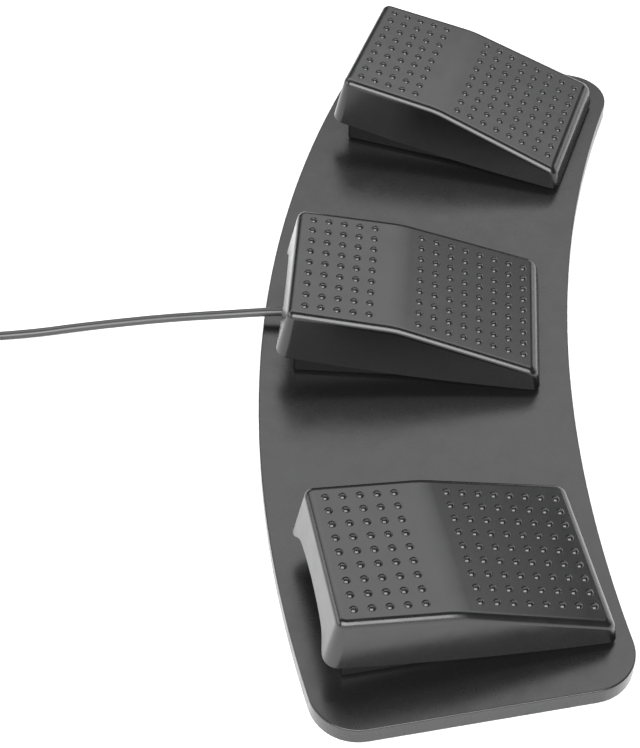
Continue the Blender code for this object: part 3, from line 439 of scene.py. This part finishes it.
def rubber(name, value, roughness):
    """Matt rubber with a little dust."""
    nodes = Nodes(name)
    dust = nodes.noise(260.0, 5.0, 0.7)
    fine = nodes.noise(2600.0, 2.0)
    colour = nodes.mix(nodes.remap(dust, 0.45, 0.75, 0.0, 0.5), grey(value), grey(value * 1.9))
    gloss = nodes.remap(dust, 0.3, 0.7, roughness - 0.06, roughness + 0.08)
    return nodes.finish(colour, gloss, nodes.bump(fine, 0.3, 0.05 * MM))


def cable_jacket():
    """Satin PVC with slight long waves from extrusion."""
    nodes = Nodes("cable_jacket")
    waves = nodes.noise(90.0, 3.0)
    fine = nodes.noise(2200.0, 2.0)
    colour = nodes.mix(waves, grey(0.016), grey(0.024))
    gloss = nodes.remap(waves, 0.3, 0.7, 0.28, 0.36)
    normal = nodes.bump(fine, 0.15, 0.03 * MM, nodes.bump(waves, 0.2, 0.12 * MM))
    return nodes.finish(colour, gloss, normal)


def metal(name, colour, roughness, streak, tint=(1.0, 1.0, 1.0)):
    """Plated or drawn metal with fine streaks and blotches."""
    nodes = Nodes(name)
    streaks = nodes.noise(streak, 4.0, 0.6, nodes.stretched(1.0, 0.06))
    blotches = nodes.noise(180.0, 4.0, 0.6)
    light = tuple(min(1.0, colour * 1.08 * t) for t in tint) + (1.0,)
    dark = tuple(colour * 0.86 * t for t in tint) + (1.0,)
    shade = nodes.mix(nodes.remap(blotches, 0.3, 0.7, 0.0, 1.0), dark, light)
    gloss = nodes.remap(streaks, 0.3, 0.7, roughness - 0.06, roughness + 0.08)
    return nodes.finish(shade, gloss, nodes.bump(streaks, 0.12, 0.03 * MM), metallic=1.0)


def powder_coat():
    """Black orange-peel coat with a few scratches."""
    nodes = Nodes("powder_coat")
    peel = nodes.noise(700.0, 2.0)
    broad = nodes.noise(22.0, 3.0)
    scratches = nodes.noise(500.0, 6.0, 0.7, nodes.stretched(0.08, 1.0))
    scratches = nodes.remap(scratches, 0.66, 0.74, 0.0, 1.0)
    colour = nodes.mix(broad, grey(0.030), grey(0.040))
    colour = nodes.mix(nodes.maths("MULTIPLY", scratches, 0.35), colour, grey(0.12))
    gloss = nodes.remap(peel, 0.3, 0.7, 0.42, 0.56)
    return nodes.finish(colour, gloss, nodes.bump(peel, 0.35, 0.08 * MM))


def circuit_board():
    """Green solder mask with copper tracks just visible under it."""
    nodes = Nodes("circuit_board")
    tracks = nodes.tree.nodes.new("ShaderNodeTexBrick")
    nodes.set(tracks.inputs["Vector"], nodes.place)
    tracks.inputs["Scale"].default_value = 260.0
    tracks.inputs["Mortar Size"].default_value = 0.06
    tracks.inputs["Color1"].default_value = (0.008, 0.075, 0.028, 1.0)
    tracks.inputs["Color2"].default_value = (0.010, 0.090, 0.034, 1.0)
    tracks.inputs["Mortar"].default_value = (0.020, 0.150, 0.060, 1.0)
    haze = nodes.noise(300.0, 3.0)
    gloss = nodes.remap(haze, 0.3, 0.7, 0.28, 0.40)
    return nodes.finish(tracks.outputs["Color"], gloss, nodes.bump(haze, 0.1, 0.05 * MM))


def red_plastic():
    nodes = Nodes("plunger_plastic")
    cloud = nodes.noise(600.0, 3.0)
    colour = nodes.mix(cloud, (0.36, 0.020, 0.015, 1.0), (0.48, 0.035, 0.022, 1.0))
    gloss = nodes.remap(cloud, 0.3, 0.7, 0.38, 0.48)
    return nodes.finish(colour, gloss, nodes.bump(cloud, 0.1, 0.05 * MM))


def make_materials():
    """One material for each material slot in the record."""
    return {
        "base_plastic": moulded_plastic("base_plastic", 0.006, 0.27, 0.08, 0.43),
        "pedal_plastic": moulded_plastic("pedal_plastic", 0.003, 0.22, 0.10),
        "tray_plastic": moulded_plastic("tray_plastic", 0.002, 0.24, 0.12, 0.4),
        "plate_steel": powder_coat(),
        "zinc_steel": metal("zinc_steel", 0.62, 0.32, 1500.0, (1.0, 0.99, 0.95)),
        "spring_steel": metal("spring_steel", 0.52, 0.26, 2400.0),
        "rubber": rubber("rubber", 0.022, 0.72),
        "board": circuit_board(),
        "switch_plastic": moulded_plastic("switch_plastic", 0.015, 0.42, 0.15),
        "plunger_plastic": red_plastic(),
        "chip": moulded_plastic("chip", 0.012, 0.55, 0.2),
        "cable_jacket": cable_jacket(),
        "usb_shell": metal("usb_shell", 0.74, 0.20, 900.0),
    }


def dress_cad_nodes(materials):
    slots = {part["node"]: part["material_slot"] for part in frame["record"]["subparts"]}
    for name, node in frame["nodes"].items():
        for slot in node.material_slots:
            slot.material = materials[slots[name]]


# Pedal covers

def pedal_matrix(side):
    """The pedal's own frame, from its hinge in the record."""
    hinge = next(j for j in frame["record"]["behaviour"]["joints"]
                 if j["name"] == side + "_pedal_hinge")
    yaw = math.atan2(-hinge["axis"][1], -hinge["axis"][0])
    place = Matrix.Translation(hinge["pos_m"]) @ Matrix.Rotation(yaw, 4, "Z")
    return place @ Matrix.Translation(-PIVOT)


def one_per_pedal(name, mesh_data, material):
    """Puts a copy of a mesh that was made in the pedal's own frame on each pedal."""
    master = new_object("master", mesh_data, material)
    pieces = []
    for side in SIDES:
        mesh = master.data.copy()
        mesh.transform(pedal_matrix(side))
        pieces.append((side, link(bpy.data.objects.new(f"{side}_{name}", mesh))))
    bpy.data.objects.remove(master, do_unlink=True)
    return pieces


def bend_centre():
    """Centre of the arc between the two slopes, in Y and Z."""
    setback = BEND_RADIUS * math.tan((HEEL_SLOPE - TOE_SLOPE) / 2)
    start_y = setback * math.cos(TOE_SLOPE)
    return Vector((
        start_y + BEND_RADIUS * math.sin(TOE_SLOPE),
        BEND_Z + start_y * math.tan(TOE_SLOPE) - BEND_RADIUS * math.cos(TOE_SLOPE),
    ))


def bend_ends():
    """Where the bend meets the toe slope and the heel slope."""
    centre = bend_centre()
    return (centre.x - BEND_RADIUS * math.sin(TOE_SLOPE),
            centre.x - BEND_RADIUS * math.sin(HEEL_SLOPE))


def top_z(y):
    """Height of the cover's top: two slopes joined by a soft bend."""
    centre = bend_centre()
    toe_end, heel_end = bend_ends()
    if y > toe_end:
        return BEND_Z + y * math.tan(TOE_SLOPE)
    if y < heel_end:
        return BEND_Z + y * math.tan(HEEL_SLOPE)
    return centre.y + math.sqrt(BEND_RADIUS ** 2 - (y - centre.x) ** 2)


def skirt_z(y):
    """Height of the cover's lower edge, which rises in a shallow curve to the toe end."""
    heel_run = -HEEL_BASE_Y
    toe_run = TOE_BASE_Y - HEEL_BASE_Y
    heel_rise = SKIRT_BEND_Z - SKIRT_HEEL_Z
    toe_rise = SKIRT_TOE_Z - SKIRT_HEEL_Z
    curvature = (toe_rise / toe_run - heel_rise / heel_run) / (toe_run - heel_run)
    slope = heel_rise / heel_run - curvature * heel_run
    run = y - HEEL_BASE_Y
    return SKIRT_HEEL_Z + slope * run + curvature * run ** 2


def rim_z(x, y, on_toe_wall):
    """Height of the rim: the skirt's, with the arch cut into the toe wall."""
    if on_toe_wall and abs(x) < ARCH_HALF_WIDTH:
        start = min(1.0, (ARCH_HALF_WIDTH - abs(x)) / ARCH_BLEND)
        rise = (1.0 - (x / ARCH_HALF_WIDTH) ** 2) ** 0.4 * start * (2 - start)
        return SKIRT_TOE_Z + ARCH_RISE * rise
    return skirt_z(y)


def toe_share(z):
    """How far down the toe wall a height is: 0 at the top, 1 at the skirt."""
    toe_top = top_z(TOE_TOP_Y)
    return (toe_top - z) / (toe_top - SKIRT_TOE_Z)


def walls_at(z):
    """Half width, toe end and heel end of the drafted walls at one height."""
    heel_top = top_z(HEEL_TOP_Y)
    heel_share = (heel_top - z) / (heel_top - SKIRT_HEEL_Z)
    return (
        HALF_WIDTH_BASE - (HALF_WIDTH_BASE - HALF_WIDTH_TOP) * z / top_z(TOE_TOP_Y),
        TOE_TOP_Y + toe_share(z) * (TOE_BASE_Y - TOE_TOP_Y),
        HEEL_TOP_Y + heel_share * (HEEL_BASE_Y - HEEL_TOP_Y),
    )


def cover_stations():
    """Places round the cover's right half, from the toe wall's middle to the heel wall's."""
    quarter = np.linspace(0.0, math.pi / 2, CORNER_POINTS + 1)
    toe_angles = np.linspace(math.pi / 2, 0.0, TOE_WALL_STEPS + 1)
    toe_end, heel_end = bend_ends()
    toe_side = np.linspace(TOE_TOP_Y - TOE_CORNER_LENGTH, toe_end, TOE_SIDE_STEPS + 1)
    bend = np.linspace(toe_end, heel_end, BEND_STEPS + 1)
    heel_side = np.linspace(heel_end, HEEL_TOP_Y + HEEL_CORNER_LENGTH, HEEL_SIDE_STEPS + 1)
    stations = [("toe", ARCH_HALF_WIDTH * math.cos(angle)) for angle in toe_angles]
    stations += [("toe_corner", angle) for angle in quarter[::-1]]
    stations += [("side", y) for y in (*toe_side, *bend[1:], *heel_side[1:])]
    stations += [("heel_corner", -angle) for angle in quarter]
    stations += [("heel", share) for share in np.linspace(1.0, 0.0, HEEL_WALL_STEPS + 1)[1:]]
    return stations


def plan_point(station, z, inset):
    """Where a station lies in plan on the walls, moved inwards by inset, at one height."""
    kind, value = station
    half_width, toe, heel = walls_at(z)
    widening = TOE_CORNER_BASE_RADIUS - TOE_CORNER_TOP_RADIUS
    toe_radius = TOE_CORNER_TOP_RADIUS + toe_share(z) * widening
    toe_radius = max(toe_radius - inset, LEAST_CORNER_RADIUS)
    heel_radius = max(HEEL_CORNER_RADIUS - inset, LEAST_CORNER_RADIUS)
    side = half_width - inset
    if kind == "toe":
        return value, toe - inset
    if kind == "toe_corner":
        return (side - toe_radius * (1 - math.cos(value)),
                toe - inset - toe_radius * (1 - math.sin(value)))
    if kind == "side":
        return side, value
    if kind == "heel_corner":
        return (side - heel_radius * (1 - math.cos(value)),
                heel + inset + heel_radius * (1 + math.sin(value)))
    return value * (side - heel_radius), heel + inset


def cover_ring(stations, inset, drop=None, lift=None):
    """A closed ring round the cover, at a drop below its top or at a lift above its rim."""
    right = []
    for station in stations:
        z = BEND_Z / 2
        for _ in range(4):               # the walls lean, so place and height settle together
            x, y = plan_point(station, z, inset)
            if drop is None:
                z = rim_z(x, y, station[0] == "toe") + lift
            else:
                z = top_z(y) - drop
        right.append((x, y, z))
    left = [(-x, y, z) for x, y, z in reversed(right[1:-1])]
    return right + left


def cap_across(mesh_data, loop, stations):
    """Closes a ring with strips from side to side, so that the bend stays crisp."""
    count = len(loop)
    first = next(i for i, station in enumerate(stations) if station[0] == "toe_corner")
    last = max(i for i, station in enumerate(stations) if station[0] == "heel_corner")
    mirror = [(count - i) % count for i in range(count)]
    toe_row = [loop[mirror[i]] for i in range(first, 0, -1)] + [loop[i] for i in range(first + 1)]
    heel_row = [loop[i] for i in range(last, len(stations))]
    heel_row += [loop[mirror[i]] for i in range(len(stations) - 2, last - 1, -1)]
    mesh_data.faces.new(toe_row)
    for i in range(first, last):
        mesh_data.faces.new((loop[i], loop[i + 1], loop[mirror[i + 1]], loop[mirror[i]]))
    mesh_data.faces.new(heel_row)


def cover_shell():
    """The cover's shell: inside its roof, down, round its rim and up over the outside."""
    stations = cover_stations()

    def rounded_ring(start, radius, angle):
        return cover_ring(stations, start + radius * (1 - math.cos(angle)),
                          drop=start + radius * (1 - math.sin(angle)))

    r = RIM_ROUNDING
    rim = ((COVER_WALL, r), (COVER_WALL - 0.3 * r, 0.3 * r), (COVER_WALL - r, 0.0),
           (r, 0.0), (0.3 * r, 0.3 * r), (0.0, r))
    rings = [rounded_ring(COVER_WALL, ROOF_ROUNDING, angle)
             for angle in np.linspace(math.pi / 2, 0.0, ROOF_ROUNDING_STEPS + 1)]
    rings += [cover_ring(stations, inset, lift=lift) for inset, lift in rim]
    rings += [rounded_ring(0.0, TOP_ROUNDING, angle)
              for angle in np.linspace(0.0, math.pi / 2, TOP_ROUNDING_STEPS + 1)]
    mesh_data = bmesh.new()
    loops = loft(mesh_data, rings, closed=False)
    cap_across(mesh_data, loops[0], stations)
    cap_across(mesh_data, loops[-1], stations)
    return mesh_data


def dot_places():
    """Centre and slope of each raised dot."""
    places = []
    columns = [(TOE_DOT_START + i * DOT_PITCH, TOE_SLOPE, 1) for i in range(TOE_DOT_COLUMNS)]
    columns += [(HEEL_DOT_START + i * DOT_PITCH, HEEL_SLOPE, -1) for i in range(HEEL_DOT_COLUMNS)]
    for along, slope, way in columns:
        for row in range(DOT_ROWS):
            x = (row - (DOT_ROWS - 1) / 2) * DOT_ROW_PITCH
            y = way * along * math.cos(slope)
            z = BEND_Z + way * along * math.sin(slope)
            places.append((Vector((x, y, z)), slope))
    return places


def add_dots(mesh_data):
    """Adds the dots, each a low cap of a sphere that starts a little below the surface."""
    sphere = (DOT_RADIUS ** 2 + DOT_HEIGHT ** 2) / (2 * DOT_HEIGHT)
    rim_tilt = math.asin(DOT_RADIUS / sphere) + DOT_SUNK
    cap = []
    for tilt in np.linspace(rim_tilt, DOT_CROWN, DOT_RINGS):
        height = sphere * math.cos(tilt) - sphere + DOT_HEIGHT
        corners = circle((0.0, 0.0), sphere * math.sin(tilt), DOT_SIDES)
        cap.append([Vector((x, y, height)) for x, y in corners])
    for centre, slope in dot_places():
        place = Matrix.Translation(centre) @ Matrix.Rotation(slope, 4, "X")
        loft(mesh_data, [[place @ point for point in ring] for ring in cap])


def roof_inside(y):
    """A height inside the roof's plastic, for what hangs from it."""
    return top_z(y) - COVER_WALL / 2


def add_turned_post(mesh_data, place, profile):
    """Adds a turned post or seat that runs up into the roof."""
    rings = [
        [(x, y, height * MM) for x, y in circle(place, radius * MM, POST_SIDES)]
        for radius, height in profile
    ]
    rings.append([(x, y, roof_inside(y)) for x, y, _ in rings[-1]])
    loft(mesh_data, rings)


def hanging_profile(centre, radius):
    """A round-ended outline in Y and Z: half a circle below, then up into the roof."""
    low = arc(centre, radius, math.pi, 2 * math.pi, ROUND_END_STEPS)
    top = np.linspace(centre[0] + radius, centre[0] - radius, ROUND_END_TOP_POINTS)
    return low + [(y, roof_inside(y)) for y in top]


def add_rib(mesh_data):
    """Adds the rib that presses the switch's lever."""
    outline = hanging_profile(RIB_PLACE, RIB_TIP_RADIUS)
    loft(mesh_data, [[(x, y, z) for y, z in outline] for x in (-RIB_HALF_WIDTH, RIB_HALF_WIDTH)])


def add_knuckle(mesh_data, centre_x):
    """Adds a hinge knuckle with its pin hole."""
    outline = hanging_profile((PIVOT.y, PIVOT.z), KNUCKLE_RADIUS)
    hole = []
    for y, z in outline:
        way = Vector((y - PIVOT.y, z - PIVOT.z)).normalized() * PIN_HOLE_RADIUS
        hole.append((PIVOT.y + way.x, PIVOT.z + way.y))
    low, high = centre_x - KNUCKLE_HALF_WIDTH, centre_x + KNUCKLE_HALF_WIDTH
    sections = ((low, outline), (high, outline), (high, hole), (low, hole), (low, outline))
    loops = loft(mesh_data, [[(x, y, z) for y, z in line] for x, line in sections], closed=False)
    bmesh.ops.remove_doubles(mesh_data, verts=loops[0] + loops[-1], dist=0.001 * MM)


def make_covers(material):
    mesh_data = cover_shell()
    add_dots(mesh_data)
    add_turned_post(mesh_data, (0.0, SPRING_Y), SEAT_PROFILE)
    add_turned_post(mesh_data, STOP_PLACE, STOP_PROFILE)
    add_rib(mesh_data)
    for centre_x in (-KNUCKLE_X, KNUCKLE_X):
        add_knuckle(mesh_data, centre_x)
    for side, cover in one_per_pedal("dotted_cover", mesh_data, material):
        smooth_shading(cover)
        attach(cover, side + "_pedal")
        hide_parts(side + "_pedal_cover")


# The return springs

def spring_path():
    """A compression spring's centreline, with one closed turn at each end."""
    turns = SPRING_OPEN_TURNS + 2 * SPRING_END_TURNS
    wire = 2 * SPRING_WIRE_RADIUS
    open_height = SPRING_HIGH_Z - SPRING_LOW_Z - 2 * SPRING_END_TURNS * wire
    points = []
    for turn in np.linspace(0.0, turns, round(turns * SPRING_TURN_STEPS) + 1):
        opened = min(SPRING_OPEN_TURNS, max(0.0, turn - SPRING_END_TURNS))
        angle = 2 * math.pi * turn
        points.append(Vector((
            SPRING_RADIUS * math.cos(angle),
            SPRING_Y + SPRING_RADIUS * math.sin(angle),
            SPRING_LOW_Z + (turn - opened) * wire + opened / SPRING_OPEN_TURNS * open_height,
        )))
    return points


def make_springs(material):
    path = spring_path()
    rings = []
    for before, point, after in zip(path[:1] + path, path, path[1:] + path[-1:]):
        outward = Vector((point.x, point.y - SPRING_Y, 0.0)).normalized()
        upward = (after - before).normalized().cross(outward)
        rings.append([
            point + SPRING_WIRE_RADIUS * (outward * math.cos(angle) + upward * math.sin(angle))
            for angle in np.linspace(0.0, 2 * math.pi, SPRING_WIRE_SIDES, endpoint=False)
        ])
    mesh_data = bmesh.new()
    loft(mesh_data, rings)
    for side, spring in one_per_pedal("coil_spring", mesh_data, material):
        smooth_shading(spring, 60.0)
        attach(spring, "base")
        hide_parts(side + "_return_spring")
        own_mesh(spring)


# The base shell

def corner_centre(arc_centre_y, distance):
    """Centre of a +X corner's arc, at a distance from a long edge's centre; the end's normal."""
    direction = Vector((math.sin(OUTER_PEDAL_YAW), math.cos(OUTER_PEDAL_YAW)))
    normal = Vector((direction.y, -direction.x))
    pedal = Vector((OUTER_PEDAL_X, PLAN_SHIFT_Y - OUTER_PEDAL_BACK))
    foot = pedal + normal * (END_OFFSET - CORNER_RADIUS)
    offset = foot - Vector((0.0, arc_centre_y))
    along = offset.dot(direction)
    reach = math.sqrt(along ** 2 - offset.length_squared + distance ** 2)
    return foot + direction * (reach - along), normal


def base_outline(inset):
    """The crescent outline of the base, moved inwards by inset, anticlockwise."""
    rear_corner, normal = corner_centre(REAR_CENTRE_Y, REAR_RADIUS - CORNER_RADIUS)
    front_corner, _ = corner_centre(FRONT_CENTRE_Y, FRONT_RADIUS + CORNER_RADIUS)
    corner = CORNER_RADIUS - inset
    end_angle = math.atan2(normal.y, normal.x)
    rear_angle = math.atan2(rear_corner.y - REAR_CENTRE_Y, rear_corner.x)
    front_angle = math.atan2(front_corner.y - FRONT_CENTRE_Y, front_corner.x)
    right = arc((0.0, FRONT_CENTRE_Y), FRONT_RADIUS + inset, math.pi / 2, front_angle, ARC_STEPS)
    right += arc(front_corner, corner, front_angle - math.pi, end_angle, CORNER_STEPS)[1:]
    right += arc(rear_corner, corner, end_angle, rear_angle, CORNER_STEPS)
    right += arc((0.0, REAR_CENTRE_Y), REAR_RADIUS - inset, rear_angle, math.pi / 2, ARC_STEPS)[1:]
    left = [(-x, y) for x, y in reversed(right[1:-1])]
    return right + left


def make_base_shell(material):
    """The crescent shell with a finely rounded deck edge."""
    section = [
        (WALL_THICKNESS, DECK_Z - DECK_THICKNESS),
        (WALL_THICKNESS, WALL_FOOT_Z + FOOT_CHAMFER),
        (WALL_THICKNESS - FOOT_CHAMFER, WALL_FOOT_Z),
        (FOOT_ROUNDING, WALL_FOOT_Z),
        (0.3 * FOOT_ROUNDING, WALL_FOOT_Z + 0.3 * FOOT_ROUNDING),
        (0.0, WALL_FOOT_Z + FOOT_ROUNDING),
    ]
    section += [
        (EDGE_ROUNDING * (1 - math.cos(angle)), DECK_Z - EDGE_ROUNDING * (1 - math.sin(angle)))
        for angle in np.linspace(0.0, math.pi / 2, EDGE_STEPS + 1)
    ]
    mesh_data = bmesh.new()
    loft(mesh_data, [[(x, y, z) for x, y in base_outline(inset)] for inset, z in section])
    shell = new_object("base_moulding", mesh_data, material)
    smooth_shading(shell)
    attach(shell, "base")
    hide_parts("base_shell")


# The cable

def smooth_route(points, step):
    """Evenly spaced points on a smooth curve through the given points."""
    knots = [Vector(point) for point in points]
    knots = [2 * knots[0] - knots[1]] + knots + [2 * knots[-1] - knots[-2]]
    dense = []
    for p0, p1, p2, p3 in zip(knots, knots[1:], knots[2:], knots[3:]):
        for t in np.linspace(0.0, 1.0, ROUTE_STEPS, endpoint=False):
            dense.append(0.5 * (
                2 * p1
                + (p2 - p0) * t
                + (2 * p0 - 5 * p1 + 4 * p2 - p3) * t ** 2
                + (3 * p1 - p0 - 3 * p2 + p3) * t ** 3
            ))
    dense.append(knots[-2])
    path = np.array([tuple(point) for point in dense])
    lengths = np.concatenate([[0.0], np.cumsum(np.linalg.norm(np.diff(path, axis=0), axis=1))])
    stations = np.linspace(0.0, lengths[-1], round(lengths[-1] / step) + 1)
    return [tuple(np.interp(station, lengths, path[:, axis]) for axis in range(3))
            for station in stations]


def cell_place(cell):
    """Radius and height of a turn in the coil's bundle."""
    column, layer = cell
    return COIL_OUTER_TURN - column * COIL_PITCH, COIL_LOW_TURN_Z + layer * COIL_PITCH


def coil_turns():
    """The coil's centreline, anticlockwise from its +X side to its +Y side."""
    full = 2 * math.pi
    changes = [full * (i + 1) - COIL_LEAD - i * COIL_SHIFT for i in range(len(COIL_CELLS) - 1)]
    end = full * (len(COIL_CELLS) - 1) + math.pi / 2
    points = []
    for angle in np.linspace(0.0, end, round(end / full * COIL_POINTS) + 1):
        radius, z = cell_place(COIL_CELLS[0])
        for change, before, after in zip(changes, COIL_CELLS, COIL_CELLS[1:]):
            share = min(1.0, max(0.0, (angle - change) / COIL_CHANGE + 0.5))
            share = 2 * share ** 2 if share < 0.5 else 1 - 2 * (1 - share) ** 2
            old, new = cell_place(before), cell_place(after)
            radius += share * (new[0] - old[0])
            z += share * (new[1] - old[1])
        points.append((
            COIL_CENTRE.x + radius * math.cos(angle),
            COIL_CENTRE.y + radius * math.sin(angle),
            z,
        ))
    return points


def make_cable(materials):
    """The cord in one line: out of the middle pedal, round the coil and into the plug."""
    plug = make_plug(materials)
    free = smooth_route([Vector(point) * MM for point in CABLE_ROUTE], CABLE_STEP)
    turns = coil_turns()
    plug_tail_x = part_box("usb_plug_grip")[1][0]
    plug_z = (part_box("usb_plug_shell")[0][2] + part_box("usb_plug_shell")[1][2]) / 2
    last = Vector(turns[-1])
    run = last.x - plug_tail_x
    lead_out = [(last.x - run * along, last.y, last.z - (last.z - plug_z) * down)
                for along, down in LEAD_OUT]
    lead_out.append((plug_tail_x - LEAD_OUT_DEPTH, last.y, plug_z))
    bridge = smooth_route([free[-2], free[-1], turns[0], turns[1]], CABLE_STEP)
    start = [tuple(CABLE_EXIT - Vector((0.0, 1.0 * MM, 0.0)))]
    points = start + free[:-1] + bridge[1:-1] + turns[1:] + lead_out
    data = bpy.data.curves.new("usb_cord", "CURVE")
    data.dimensions = "3D"
    data.bevel_depth = CABLE_DIAMETER / 2
    data.bevel_resolution = 5
    data.use_fill_caps = True
    spline = data.splines.new("POLY")
    spline.points.add(len(points) - 1)
    for target, point in zip(spline.points, points):
        target.co = (*point, 1.0)
        target.radius = 1.0
    spline.use_smooth = True
    data.materials.append(materials["cable_jacket"])
    cord = link(bpy.data.objects.new("usb_cord", data))
    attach(cord, "base")
    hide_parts("usb_cable", "cable_coil")


def make_plug(materials):
    """The plug's moulded grip, with finger grooves and a tapered tail."""
    low, high = (Vector(corner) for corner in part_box("usb_plug_grip"))
    middle = (low + high) / 2
    half_y = (high.y - low.y) / 2
    half_z = (high.z - low.z) / 2
    tail_start = low.x + GRIP_BODY_LENGTH
    stations = []
    for share in np.linspace(0.0, 1.0, GRIP_BODY_STEPS + 1):
        groove = 0.0
        if GROOVE_START < share < GROOVE_END:
            turns = (share - GROOVE_START) / (GROOVE_END - GROOVE_START) * GROOVES
            groove = GROOVE_DEPTH * max(0.0, -math.cos(turns * 2 * math.pi))
        end_round = max(0.0, 1 - share / 0.05) ** 2 + max(0.0, (share - 0.9) / 0.1) ** 2
        end_round *= GRIP_END_ROUNDING
        stations.append((low.x + share * GRIP_BODY_LENGTH, half_y - groove - end_round,
                         half_z - groove / 2 - end_round, GRIP_BODY_POWER))
    for step in range(1, TAIL_STEPS + 1):
        share = step / TAIL_STEPS
        radius = TAIL_RADIUS - TAIL_TAPER * share + TAIL_RIB * (step % 2)
        stations.append((tail_start + share * (high.x - tail_start), radius,
                         min(radius, half_z), 2.0))
    rings = []
    for x, half_width, half_height, power in stations:
        ring = []
        for c, s in circle((0.0, 0.0), 1.0, GRIP_SIDES):
            ring.append((
                x,
                middle.y + half_width * math.copysign(abs(c) ** (2 / power), c),
                middle.z + half_height * math.copysign(abs(s) ** (2 / power), s),
            ))
        rings.append(ring)
    mesh_data = bmesh.new()
    loft(mesh_data, rings)
    grip = new_object("plug_grip_moulding", mesh_data, materials["cable_jacket"])
    smooth_shading(grip, 40.0)
    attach(grip, "base")
    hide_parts("usb_plug_grip")
    return grip


make_camera()
materials = make_materials()
make_cable(materials)
dress_cad_nodes(materials)
make_floor()
make_light()
make_base_shell(materials["base_plastic"])
make_covers(materials["pedal_plastic"])
make_springs(materials["spring_steel"])
